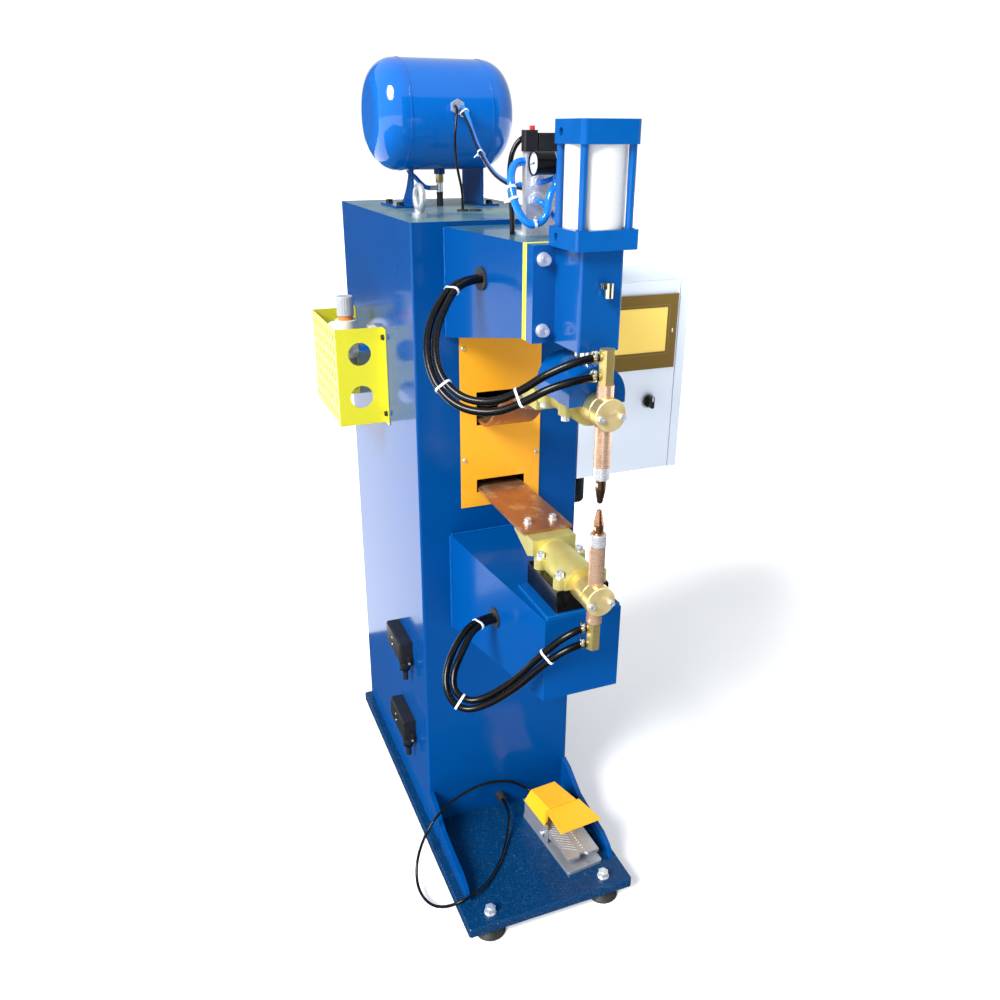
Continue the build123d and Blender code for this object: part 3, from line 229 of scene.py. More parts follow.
def surface(name, base, other, rough=(0.25, 0.4), metal=0.0, blotch=6.0, grain=300.0, bump=0.05, stretch=(1, 1, 1),
            edge=0.0, edge_colour=None, coat=0.0, contrast=0.5, round_edge=0.8, depth=0.3, spec=0.5, third=None,
            flecks=0.0, spun=None, lean=0.0, soft_stretch=(1, 1, 1)):
    """Two close colours mixed by soft noise, roughness and bump by a finer noise, and rounded edges.

    edge shows edge_colour on the corners: partly wear, where paint thins or metal is rubbed bright, and
    partly a painted highlight, where light catches the edges. third adds patches of one more colour,
    flecks small pale specks, and spun, a centre and an axis, the fine rings that a lathe leaves. lean is
    the anisotropy of a turned or brushed metal.
    """
    shade = Shade(name)
    shader = shade.shader
    shader.inputs["Metallic"].default_value = metal
    shader.inputs["Specular IOR Level"].default_value = spec
    shader.inputs["Coat Weight"].default_value = coat
    shader.inputs["Coat Roughness"].default_value = 0.05
    shader.inputs["Coat IOR"].default_value = 1.35
    soft = shade.noise(blotch, shade.scaled(soft_stretch), 5, 0.6)
    fine = shade.noise(grain, shade.scaled(stretch))
    half = 0.5 * (1 - contrast) + 0.02
    colour = shade.mix(shade.ramp(soft, 0.5 - half, 0.5 + half), base, other)
    if third:
        patches = shade.noise(blotch * 2.3, shade.scaled(soft_stretch, (3.1, 1.7, 5.3)), 6, 0.65)
        colour = shade.mix(shade.ramp(patches, 0.54, 0.66), colour, third)
    if flecks:
        dots = shade.noise(700, shade.where, 1)
        colour = shade.mix(shade.ramp(dots, 0.71, 0.76, 0, flecks), colour, (0.75, 0.82, 0.86))
    rounded = shade.node("Bevel", samples=3)
    rounded.inputs["Radius"].default_value = round_edge * MM
    # Lighter colour on the edges, found from the bevel normal: partly wear, partly a painted highlight along the
    # edges.
    if edge:
        flat = shade.node("NewGeometry")
        dot = shade.node("VectorMath", operation="DOT_PRODUCT")
        shade.link(rounded.outputs["Normal"], dot.inputs[0])
        shade.link(flat.outputs["Normal"], dot.inputs[1])
        rim = shade.ramp(dot.outputs["Value"], 0.97, 0.75, 0, edge)
        colour = shade.mix(rim, colour, edge_colour or tuple(0.55 * c + 0.42 for c in base))
    height = fine
    if spun:
        (x, y, z), axis = spun
        middle = P(x, y, z)
        rings = shade.node("TexWave", wave_type="RINGS", rings_direction=axis)
        rings.inputs["Scale"].default_value = 330
        rings.inputs["Distortion"].default_value = 1.5
        shade.link(shade.scaled((1, 1, 1), tuple(-c for c in middle)), rings.inputs["Vector"])
        height = rings.outputs["Fac"]
        colour = shade.mix(shade.ramp(height, 0, 1, 0, 0.22), colour, tuple(0.7 * c for c in base))
    if lean:
        tangent = shade.node("Tangent", direction_type="RADIAL", axis=spun[1] if spun else "Z")
        shade.link(tangent.outputs["Tangent"], shader.inputs["Tangent"])
        shader.inputs["Anisotropic"].default_value = lean
    shade.link(colour, shader.inputs["Base Color"])
    shade.link(shade.ramp(fine, 0.3, 0.7, *rough), shader.inputs["Roughness"])
    relief = shade.node("Bump")
    relief.inputs["Strength"].default_value = bump
    relief.inputs["Distance"].default_value = depth * MM
    shade.link(height, relief.inputs["Height"])
    shade.link(rounded.outputs["Normal"], relief.inputs["Normal"])
    shade.link(relief.outputs["Normal"], shader.inputs["Normal"])
    return shade.material


# Lighter blue on the edges of the blue paint: a painted highlight, where light catches the edges.
EDGE_HIGHLIGHT_BLUE = (0.03, 0.30, 0.85)
PAINT = {"rough": (0.12, 0.20), "blotch": 3.5, "grain": 240, "bump": 0.05, "coat": 0.4, "spec": 0.2, "edge": 0.45,
         "edge_colour": EDGE_HIGHLIGHT_BLUE, "contrast": 0.2}
METAL = {"metal": 1.0, "grain": 900, "bump": 0.08}
# Brass of the clamp caps' front faces, made lighter and less metallic than the caps' brass: a painted highlight on the
# faces turned to the front; the rings are the real turned finish.
FACE = dict(METAL, metal=0.65, base=(0.92, 0.74, 0.38), other=(0.86, 0.67, 0.31), rough=(0.36, 0.48), blotch=30,
            edge=0.35, lean=0.75, bump=0.12, depth=0.1)

LOOKS = {
    "blue": dict(PAINT, base=(0.0, 0.060, 0.250), other=(0.0, 0.048, 0.200), coat=0.22, spec=0.15),
    "knee_blue": dict(PAINT, base=(0.0, 0.064, 0.262), other=(0.0, 0.050, 0.212), coat=0.06, spec=0.08),
    # The next three looks are the blue paint again, made lighter for the head and ram block, the cylinder caps and tie
    # rods, and the knee pad and welds: painted light, for the light these parts catch.
    "head_blue_painted_light": dict(PAINT, base=(0.0, 0.075, 0.30), other=(0.0, 0.060, 0.245), soft_stretch=(1, 1, 0.3)),
    "cap_blue_painted_light": dict(PAINT, base=(0.0, 0.095, 0.36), other=(0.0, 0.070, 0.28), blotch=30, bump=0.3, grain=70,
                     stretch=(1, 1, 0.25), depth=0.5),
    "pad_blue_painted_light": dict(PAINT, base=(0.0, 0.085, 0.33), other=(0.0, 0.060, 0.25), blotch=40, edge=0.9, round_edge=1.6,
                     bump=0.3, grain=160),
    "plate_blue": dict(PAINT, base=(0.0, 0.034, 0.115), other=(0.0, 0.026, 0.085), rough=(0.2, 0.4), blotch=7,
                       flecks=0.5, coat=0.3),
    "top_blue": dict(PAINT, base=(0.02, 0.10, 0.20), other=(0.15, 0.24, 0.20), rough=(0.3, 0.55), blotch=7, grain=300,
                     contrast=0.45, coat=0.15, third=(0.01, 0.075, 0.24), flecks=0.2),
    "arm_top": dict(PAINT, base=(0.005, 0.075, 0.22), other=(0.07, 0.17, 0.19), rough=(0.2, 0.4), blotch=10, grain=300,
                    contrast=0.35, coat=0.3),
    # Upper part of the tank: the blue paint made much lighter and glossier, painted light on the top of the tank.
    "tank_top_painted_light": dict(PAINT, base=(0.0, 0.125, 0.50), other=(0.0, 0.095, 0.41), rough=(0.07, 0.13), blotch=5, grain=90,
                      bump=0.05, coat=0.7, spec=0.5, edge=0.1),
    "orange": dict(PAINT, base=(0.78, 0.34, 0.014), other=(0.84, 0.39, 0.022), rough=(0.3, 0.42), coat=0.2, edge=0.25,
                   edge_colour=(0.95, 0.55, 0.12), blotch=5),
    "yellow": dict(PAINT, base=(0.60, 0.565, 0.022), other=(0.65, 0.61, 0.03), rough=(0.22, 0.35), coat=0.3,
                   edge_colour=(0.95, 0.95, 0.25), blotch=6),
    "gasket": dict(base=(0.70, 0.74, 0.06), other=(0.62, 0.66, 0.04), rough=(0.5, 0.65), blotch=40, grain=700,
                   bump=0.2),
    "hood_yellow": dict(base=(0.80, 0.40, 0.008), other=(0.86, 0.45, 0.014), rough=(0.30, 0.42), blotch=14,
                        grain=1100, bump=0.10, contrast=0.3, edge=0.3, edge_colour=(0.95, 0.62, 0.10)),
    "grey": dict(base=(0.64, 0.71, 0.82), other=(0.67, 0.74, 0.85), rough=(0.35, 0.5), blotch=4, grain=1100, bump=0.14,
                 edge=0.4, edge_colour=(0.80, 0.86, 0.95), contrast=0.2),
    "barrel": dict(base=(0.64, 0.65, 0.66), other=(0.60, 0.61, 0.62), rough=(0.25, 0.38), blotch=8, grain=300,
                   bump=0.04, coat=0.2, soft_stretch=(1, 1, 0.2)),
    "cast_brass": dict(base=(0.74, 0.67, 0.27), other=(0.58, 0.52, 0.17), rough=(0.42, 0.62), metal=0.75, blotch=30,
                       grain=420, bump=0.55, edge=0.4, edge_colour=(0.88, 0.82, 0.42), depth=0.5),
    "brass": dict(METAL, base=(0.84, 0.68, 0.28), other=(0.76, 0.60, 0.22), metal=0.85, rough=(0.26, 0.38),
                  blotch=30, edge=0.35),
    "upper_face": dict(FACE, spun=((0, -404, 1048), "Y")),
    "lower_face": dict(FACE, spun=((0, -404, 745), "Y")),
    "copper": dict(METAL, base=(0.88, 0.60, 0.43), other=(0.76, 0.48, 0.33), metal=0.72, rough=(0.2, 0.32),
                   blotch=30, grain=700,
                   stretch=(0.1, 0.1, 6), edge=0.3, lean=0.4, third=(0.56, 0.30, 0.19), soft_stretch=(1, 1, 0.4)),
    "bus_copper": dict(METAL, base=(0.55, 0.26, 0.12), other=(0.33, 0.14, 0.07), metal=0.75, rough=(0.28, 0.48),
                       blotch=17, grain=500, stretch=(5, 0.3, 1), edge=0.5, edge_colour=(0.85, 0.50, 0.32),
                       contrast=0.4, third=(0.62, 0.42, 0.25), soft_stretch=(1, 0.6, 1)),
    "dark_copper": dict(METAL, base=(0.22, 0.13, 0.085), other=(0.34, 0.19, 0.12), rough=(0.22, 0.38), blotch=60,
                        edge=0.3, stretch=(0.2, 0.2, 5)),
    "tip_copper": dict(METAL, base=(0.62, 0.32, 0.20), other=(0.48, 0.24, 0.14), rough=(0.2, 0.34), blotch=60,
                       edge=0.3, stretch=(0.2, 0.2, 5)),
    "bright_copper": dict(METAL, base=(0.85, 0.60, 0.36), other=(0.78, 0.52, 0.30), rough=(0.15, 0.25), blotch=60),
    "chrome": dict(METAL, base=(0.76, 0.77, 0.79), other=(0.70, 0.71, 0.74), rough=(0.05, 0.12), blotch=20, bump=0.01),
    "nickel": dict(METAL, base=(0.78, 0.74, 0.58), other=(0.66, 0.60, 0.42), rough=(0.14, 0.26), blotch=80, edge=0.3),
    "zinc": dict(METAL, base=(0.86, 0.88, 0.92), other=(0.72, 0.74, 0.80), metal=0.7, rough=(0.22, 0.36),
                 blotch=90, edge=0.4),
    "forged": dict(METAL, base=(0.72, 0.74, 0.78), other=(0.58, 0.60, 0.66), metal=0.8, rough=(0.32, 0.46), blotch=40,
                   grain=600, bump=0.2, edge=0.2),
    "core": dict(METAL, base=(0.08, 0.08, 0.09), other=(0.15, 0.10, 0.07), metal=0.6, rough=(0.4, 0.6), blotch=12,
                 stretch=(0.2, 6, 0.2), bump=0.2),
    "cast_alu": dict(METAL, base=(0.56, 0.57, 0.60), other=(0.44, 0.45, 0.49), metal=0.75, rough=(0.36, 0.55),
                     blotch=25, grain=1100, bump=0.3, edge=0.5, edge_colour=(0.82, 0.83, 0.86)),
    "plate_alu": dict(METAL, base=(0.88, 0.89, 0.92), other=(0.80, 0.81, 0.84), metal=0.6, rough=(0.25, 0.4),
                      blotch=20, stretch=(0.2, 1, 1), edge=0.3),
    "rubber": dict(base=(0.0015, 0.0015, 0.002), other=(0.003, 0.003, 0.0035), rough=(0.20, 0.32), blotch=30,
                   grain=500, bump=0.05, coat=0.3, spec=0.2, flecks=0.006),
    "dull_rubber": dict(base=(0.010, 0.010, 0.011), other=(0.03, 0.03, 0.03), rough=(0.42, 0.6), blotch=40, grain=800,
                        bump=0.2),
    "black_plastic": dict(base=(0.009, 0.009, 0.010), other=(0.016, 0.016, 0.017), rough=(0.28, 0.42), blotch=30,
                          grain=1400, bump=0.12, edge=0.15, edge_colour=(0.08, 0.08, 0.085)),
    "insulator": dict(base=(0.002, 0.002, 0.0025), other=(0.005, 0.005, 0.005), rough=(0.12, 0.24), blotch=20,
                      grain=260, bump=0.04, coat=0.2, spec=0.2, edge=0.3, edge_colour=(0.05, 0.05, 0.055)),
    "black_steel": dict(METAL, base=(0.012, 0.012, 0.012), other=(0.05, 0.045, 0.04), metal=0.5, rough=(0.25, 0.45),
                        blotch=120, edge=0.3),
    "grey_plastic": dict(base=(0.34, 0.35, 0.36), other=(0.40, 0.41, 0.42), rough=(0.4, 0.55), blotch=30, grain=1200,
                         bump=0.1, edge=0.2),
    "cream": dict(base=(0.66, 0.64, 0.58), other=(0.74, 0.72, 0.66), rough=(0.35, 0.5), blotch=20, grain=900,
                  bump=0.08),
    "blue_tube": dict(base=(0.0, 0.145, 0.66), other=(0.0, 0.18, 0.74), rough=(0.10, 0.18), blotch=30, grain=400,
                      bump=0.02, coat=0.5),
    "tie_white": dict(base=(0.80, 0.83, 0.90), other=(0.72, 0.76, 0.85), rough=(0.3, 0.42), blotch=80, grain=900),
    "red": dict(base=(0.70, 0.02, 0.02), other=(0.60, 0.01, 0.01), rough=(0.25, 0.35), blotch=60, grain=900, coat=0.3),
    "orange_ring": dict(base=(0.80, 0.22, 0.02), other=(0.70, 0.18, 0.02), rough=(0.35, 0.5), blotch=60, grain=900),
    "bezel": dict(base=(0.155, 0.098, 0.022), other=(0.175, 0.112, 0.028), rough=(0.12, 0.20), blotch=4, grain=900,
                  bump=0.02, coat=0.3, spec=0.3),
    "bezel_line": dict(base=(0.24, 0.17, 0.07), other=(0.28, 0.20, 0.09), rough=(0.2, 0.3), blotch=20, grain=900),
    "screen": dict(base=(0.88, 0.62, 0.13), other=(0.93, 0.68, 0.16), rough=(0.10, 0.16), blotch=5, grain=300,
                   bump=0.0, coat=0.3, contrast=0.1),
    "dial": dict(base=(0.66, 0.74, 0.86), other=(0.60, 0.69, 0.82), rough=(0.3, 0.4), blotch=30, bump=0.01, coat=0.6),
    "ink": dict(base=(0.02, 0.02, 0.03), other=(0.03, 0.03, 0.04), rough=(0.4, 0.5), blotch=60, grain=600, bump=0.01),
}


# ---- mesh building ----
def body_of_node(node):
    return frame["nodes"][node]["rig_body"]


def finish_piece(obj, material, body=None, smooth=None):
    if material:
        obj.data.materials.clear()
        obj.data.materials.append(MATERIALS[material])
    if smooth is not None:
        obj.data.shade_smooth()
        obj.data.set_sharp_from_angle(angle=math.radians(smooth))
    if body:
        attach(obj, body)
    return obj


def turned(name, profile, place, axis, material, body, sides=48, smooth=35):
    """Turned piece: profile gives (radius, distance along axis) in millimetres."""
    bm = bmesh.new()
    rings = []
    for radius, height in profile:
        ring = [bm.verts.new((radius * math.cos(2 * math.pi * i / sides), radius * math.sin(2 * math.pi * i / sides),
                              height)) for i in range(sides)]
        rings.append(ring)
    for low, high in zip(rings, rings[1:]):
        for i in range(sides):
            j = (i + 1) % sides
            bm.faces.new((low[i], low[j], high[j], high[i]))
    bm.faces.new(rings[0][::-1])
    bm.faces.new(rings[-1])
    bmesh.ops.remove_doubles(bm, verts=bm.verts, dist=1e-4)
    bmesh.ops.recalc_face_normals(bm, faces=bm.faces)
    mesh = bpy.data.meshes.new(name)
    bm.to_mesh(mesh)
    bm.free()
    turn = Vector(axis).to_track_quat("Z", "Y").to_matrix().to_4x4()
    mesh.transform(Matrix.Translation(P(*place)) @ turn @ Matrix.Scale(MM, 4))
    return finish_piece(add(name, mesh), material, body, smooth)


def slab(name, low, high, material, body, radius=1.0, turn=None):
    """Box between two corners with rounded edges."""
    bm = bmesh.new()
    bmesh.ops.create_cube(bm, size=1)
    centre = (Vector(low) + Vector(high)) / 2
    size = Vector(high) - Vector(low)
    bmesh.ops.scale(bm, vec=size, verts=bm.verts)
    bmesh.ops.bevel(bm, geom=bm.edges[:], offset=radius, segments=3, profile=0.5, affect="EDGES")
    mesh = bpy.data.meshes.new(name)
    bm.to_mesh(mesh)
    bm.free()
    place = Matrix.Translation(P(*centre))
    mesh.transform(place @ (turn or Matrix.Identity(4)) @ Matrix.Scale(MM, 4))
    return finish_piece(add(name, mesh), material, body, 40)


def machine(spot):
    """Machine-frame millimetres of a row-frame point."""
    return Vector((spot.x / MM + X_MID, spot.y / MM + Y_MID, spot.z / MM + FLOOR_Z))


def regions(node, *rules):
    """Divides a CAD node's surface into pieces with their own materials.

    Each rule is (material, slot, test), and a face goes to the first test(centre, normal) that holds.
    """
    source = frame["nodes"][node]
    bm = bmesh.new()
    bm.from_mesh(source.data)
    bm.transform(source.matrix_world)
    bm.normal_update()
    groups = [[] for _ in rules]
    for face in bm.faces:
        centre = machine(face.calc_center_median())
        for number, (_, _, test) in enumerate(rules):
            if test(centre, face.normal):
                groups[number].append(face.index)
                break
    for number, (material, slot, _) in enumerate(rules):
        part = bm.copy()
        part.faces.ensure_lookup_table()
        keep = set(groups[number])
        bmesh.ops.delete(part, geom=[face for face in part.faces if face.index not in keep], context="FACES")
        mesh = bpy.data.meshes.new(f"{node}_{material}")
        part.to_mesh(mesh)
        part.free()
        piece = finish_piece(add(f"{node}_{material}", mesh), material, body_of_node(node), 30)
        if number == 0:
            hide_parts(node)
    bm.free()


def rest(spot, normal):
    return True


def smooth_line(control):
    """Points along the smooth curve that has these control points."""
    curve = bpy.data.curves.new("line", "CURVE")
    curve.dimensions = "3D"
    spline = curve.splines.new("NURBS")
    spline.points.add(len(control) - 1)
    for point, spot in zip(spline.points, control):
        point.co = (*spot, 1)
    spline.order_u = 3
    spline.use_endpoint_u = True
    curve.resolution_u = 12
    holder = add("line", curve)
    bpy.context.view_layer.update()
    mesh = bpy.data.meshes.new_from_object(holder.evaluated_get(bpy.context.evaluated_depsgraph_get()))
    line = [vertex.co.copy() for vertex in mesh.vertices]
    bpy.data.objects.remove(holder)
    return line


def tube_mesh(name, line, radius, sides=20):
    """Round tube along a line of points, with closed ends."""
    bm = bmesh.new()
    tangent = (line[1] - line[0]).normalized()
    across = tangent.orthogonal().normalized()
    rings = []
    for i, spot in enumerate(line):
        ahead = (line[min(i + 1, len(line) - 1)] - line[max(i - 1, 0)]).normalized()
        across = (across - ahead * across.dot(ahead)).normalized()
        side = ahead.cross(across)
        rings.append([bm.verts.new(spot + (across * math.cos(2 * math.pi * k / sides)
                                           + side * math.sin(2 * math.pi * k / sides)) * radius * MM)
                      for k in range(sides)])
    for low, high in zip(rings, rings[1:]):
        for k in range(sides):
            m = (k + 1) % sides
            bm.faces.new((low[k], low[m], high[m], high[k]))
    bm.faces.new(rings[0][::-1])
    bm.faces.new(rings[-1])
    bmesh.ops.recalc_face_normals(bm, faces=bm.faces)
    mesh = bpy.data.meshes.new(name)
    bm.to_mesh(mesh)
    bm.free()
    return add(name, mesh)


def line_length(line):
    return sum((b - a).length for a, b in zip(line, line[1:]))


def hose(name, route, diameter, node, material, body="frame", joins=None):
    """Hose or cable along a route; joins gives (start, end) for one that runs between the frame and the ram, and such
    a hose is left in place on no body.
    """
    line = smooth_line(points(*route))
    obj = tube_mesh(name, line, diameter / 2)
    finish_piece(obj, material, None, 60)
    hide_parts(node)
    if joins:
        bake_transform(obj)
    else:
        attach(obj, body)
    return line


def at_share(line, share):
    """Point and direction at a share of a line's length."""
    left = share * line_length(line)
    for a, b in zip(line, line[1:]):
        step = (b - a).length
        if left <= step:
            return a.lerp(b, left / step), (b - a).normalized()
        left -= step
    return line[-1], (line[-1] - line[-2]).normalized()


def tie(name, holds, body="frame", joins=None):
    """Cable tie round one or more hoses: holds is a list of (line, share, radius)."""
    spots = [at_share(line, share) + (radius,) for line, share, radius in holds]
    centre = sum((spot for spot, _, _ in spots), Vector()) / len(spots)
    along = sum((way for _, way, _ in spots), Vector()).normalized()
    long_way = (spots[-1][0] - spots[0][0]) if len(spots) > 1 else along.orthogonal()
    long_way = (long_way - along * long_way.dot(along)).normalized()
    other = along.cross(long_way)
    half = [(spot - centre).dot(long_way) for spot, _, _ in spots]
    radius = (max(r for _, _, r in spots) + 0.25) * MM
    loop = []
    for k in range(40):
        angle = 2 * math.pi * k / 40
        reach = max(half) if math.cos(angle) > 0 else min(half)
        loop.append(centre + long_way * (reach + radius * math.cos(angle)) + other * radius * math.sin(angle))
    width, thick = 1.9 * MM, 0.7 * MM
    bm = bmesh.new()
    rings = []
    for spot in loop:
        out = (spot - centre).normalized()
        rings.append([bm.verts.new(spot + along * a * width + out * b * thick)
                      for a, b in ((-1, 0), (1, 0), (1, 1.6), (-1, 1.6))])
    for low, high in zip(rings, rings[1:] + rings[:1]):
        for k in range(4):
            m = (k + 1) % 4
            bm.faces.new((low[k], low[m], high[m], high[k]))
    head = loop[10] + other * 1.6 * MM
    tail = head + other * 4.5 * MM + long_way * 1.5 * MM
    for spot, size in ((head, (2.6, 2.3, 2.2)), (tail, (1.6, 0.6, 4))):
        made = bmesh.ops.create_cube(bm, size=1)["verts"]
        axes = Matrix((along, long_way, other)).transposed().to_4x4()
        scale = Matrix.Diagonal((*[2 * s * MM * 0.8 for s in size], 1))
        bmesh.ops.transform(bm, matrix=Matrix.Translation(spot) @ axes @ scale, verts=made)
    bmesh.ops.recalc_face_normals(bm, faces=bm.faces)
    mesh = bpy.data.meshes.new(name)
    bm.to_mesh(mesh)
    bm.free()
    obj = finish_piece(add(name, mesh), "tie_white", None, 40)
    if joins:
        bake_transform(obj)
    else:
        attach(obj, body)


# ---- cords ----
UPPER_JOIN = (P(-90, -132, 1203), P(-38, -404, 1114))
BARB_TIP = -14.05


def water_hoses():
    upper = [
        [(-89.11, -139.22, 1203), (-128.72, -144.75, 1203), (-172, -186, 1164), (-196, -216, 1126),
         (-200, -251, 1083), (-179, -290, 1055), (-141, -328, 1055), (-108, -358, 1080), (-84, -382, 1106),
         (-38, -404, 1128.5), (BARB_TIP, -404, 1128.5)],
        [(-90.99, -125.75, 1203), (-130.6, -131.28, 1203), (-180, -174.5, 1169.5), (-207.5, -209, 1125),
         (-211, -249.5, 1075.5), (-187.5, -294, 1043), (-145, -335, 1041), (-107.5, -365.5, 1064), (-83, -386, 1085.5),
         (-38, -404, 1100.5), (BARB_TIP, -404, 1100.5)]]
    lower = [
        [(-88.9, -201.11, 612), (-128.71, -204.99, 612), (-170, -249, 590), (-194, -268, 562), (-197, -287, 538),
         (-176, -305, 526), (-148, -322, 541), (-110, -349, 583), (-80, -380, 642), (-38, -404, 690),
         (BARB_TIP, -404, 690)],
        [(-90.22, -187.57, 612), (-130.03, -191.46, 612), (-179, -237.5, 597.5), (-205.5, -262, 564),
         (-209.5, -286.5, 533), (-189, -307, 513), (-156, -328, 528), (-113, -358, 572), (-79, -385, 626),
         (-38, -404, 662), (BARB_TIP, -404, 662)]]
    high = [hose(f"upper_hose_{i}", route, 12, "upper_hoses", "rubber", joins=UPPER_JOIN)
            for i, route in enumerate(upper)]
    low = [hose(f"lower_hose_{i}", route, 12, "lower_hoses", "rubber")
           for i, route in enumerate(lower)]
    for i, shares in enumerate(((0.12, 0.12), (0.48, 0.485), (0.74, 0.765))):
        tie(f"upper_tie_{i}", [(high[0], shares[0], 6), (high[1], shares[1], 6)], joins=UPPER_JOIN)
    for i, shares in enumerate(((0.075, 0.068), (0.408, 0.44), (0.83, 0.855))):
        tie(f"lower_tie_{i}", [(low[0], shares[0], 6), (low[1], shares[1], 6)])
    for end, body, heights in (("upper", "ram", (1128.5, 1100.5)), ("lower", "frame", (690, 662))):
        for i, z in enumerate(heights):
            worm_clip(f"{end}_clip_{i}", z, body)


def worm_clip(name, z, body):
    """Steel band with its screw housing round a hose end."""
    band = [(6.0, 0), (6.9, 0), (6.9, 0.6), (6.6, 1.2), (6.9, 1.8), (6.6, 2.4), (6.9, 3), (6.6, 3.6), (6.9, 4.2),
            (6.6, 4.8), (6.9, 5.4), (6.9, 6.6), (6.0, 6.6)]
    turned(name + "_band", band, (-24, -404, z), (1, 0, 0), "nickel", body, 40)
    slab(name + "_housing", (-24.4, -407.6, z + 6.6), (-17, -400.4, z + 11.2), "nickel", body, 1.2)
    screw = [(0, 0), (2.3, 0), (2.7, 0.5), (2.7, 2.6), (1.6, 2.8), (1.6, 12), (0, 12)]
    turned(name + "_screw", screw, (-20.7, -411.6, z + 9.4), (0, 1, 0), "zinc", body, 6)


def air_tubes():
    node, slot = "air_hoses", "blue_hose"
    loop = hose("air_loop", [(-33.05, -176, 1380), (-48, -176, 1380), (-61, -188, 1362), (-64, -204, 1334),
                             (-57, -216, 1306), (-42, -222, 1291), (-25, -225, 1296), (-16, -226, 1308),
                             (-14, -226, 1326), (-9, -223, 1340), (1.5, -219, 1346), (1.5, -219, 1364.45)],
                12, node, "blue_tube")
    hose("valve_lead", [(-28, -169.95, 1414), (-28, -158, 1414), (-39, -154, 1403), (-47, -154, 1384),
                        (-49, -154, 1352), (-45, -154, 1320), (-43, -154, 1298), (-43, -154, 1272.05)],
         8, node, "rubber")
    hose("outlet_tube", [(-211.6, 238, 1020), (-190, 237, 1019.4), (-168.4, 238, 1020)], 12, node, "blue_tube")
    hose("cap_tube_high", [(-14, -192.05, 1351), (-14, -203, 1351), (7, -203, 1358), (22, -221, 1371),
                           (24, -248, 1398), (20, -276, 1422), (20, -298.95, 1422)], 8, node, "blue_tube")
    hose("cap_tube_low", [(-18, -192.05, 1325), (-18, -203, 1325), (-8, -209, 1314), (-2, -230, 1299),
                          (6, -256, 1288), (20, -278, 1286), (20, -298.95, 1286)], 8, node, "blue_tube")
    first = hose("tank_tube", [(2, 209.85, 1463), (2, 188, 1463), (-2, 150, 1434), (-6, 110, 1406), (-12, 60, 1383),
                               (-18, 10, 1364), (-22, -44, 1350), (-22, -98, 1344), (-20, -140, 1344),
                               (-20, -167.95, 1344)], 8, node, "blue_tube")
    second = hose("tank_lead", [(-4, 209.85, 1456), (-4, 186, 1456), (-7, 140, 1431), (-11, 100, 1404),
                                (-17, 50, 1383), (-23, 0, 1364), (-27, -54, 1350), (-29, -104, 1343),
                                (-29, -140, 1340), (-29, -167.95, 1340)], 5, node, "rubber")
    hose("tank_cable", [(-10, 209.85, 1464), (-10, 198, 1464), (-14, 188, 1448), (-20, 181, 1420), (-22, 177, 1386),
                        (-16, 179, 1350), (-7, 186, 1324), (-4, 189, 1304), (-4, 189, 1283.05)],
         5, node, "rubber")
    hose("return_hose", [(-26.1, 325, 1315), (-34, 325, 1315), (-44, 330, 1324), (-52, 342, 1336), (-57, 362, 1343),
                         (-52, 392, 1346), (-52, 392, 1361.9)], 9, node, "blue_tube")
    for i, share in enumerate((0.27, 0.35, 0.60)):
        tie(f"loop_tie_{i}", [(loop, share, 6)])
    for i, share in enumerate((0.08, 0.42, 0.90)):
        tie(f"tank_tie_{i}", [(first, share, 4), (second, share, 2.5)])


def pedal_cord():
    hose("pedal_cord", [(64.67, -51.08, 44), (62.75, -31.23, 44), (44, -22, 56), (28, -15, 65), (4, -11, 72),
                        (-30, -11, 78), (-66, -20, 82), (-100, -36, 87), (-132, -54, 90), (-164, -70, 86),
                        (-190, -81, 66), (-208, -87, 38), (-221, -94, 10), (-231, -110, -14), (-236, -136, -30),
                        (-233, -166, -34), (-222, -196, -30), (-204, -222, -14), (-184, -238, 4), (-158, -240, 14),
                        (-130, -228, 10), (-104, -208, 5), (-78, -184, 4.5), (-54, -156, 4.5), (-34, -126, 6),
                        (-16, -96, 12), (-2, -68, 21), (2, -42, 25), (2, -18.05, 25)],
         6, "pedal_cable", "rubber")


# ---- CAD nodes in more than one material ----
def pedal_local(spot):
    return Matrix.Rotation(math.radians(-5.5), 3, "Z") @ (spot - Vector((35, -56, 0)))


def at_pin(spot, normal):
    local = pedal_local(spot)
    return math.hypot(local.y + 92, local.z - 28) < 4.4 and not 0.5 < local.x < 83.5


def at_gland(spot, normal):
    local = pedal_local(spot)
    return local.y > -7.6 and local.z > 37


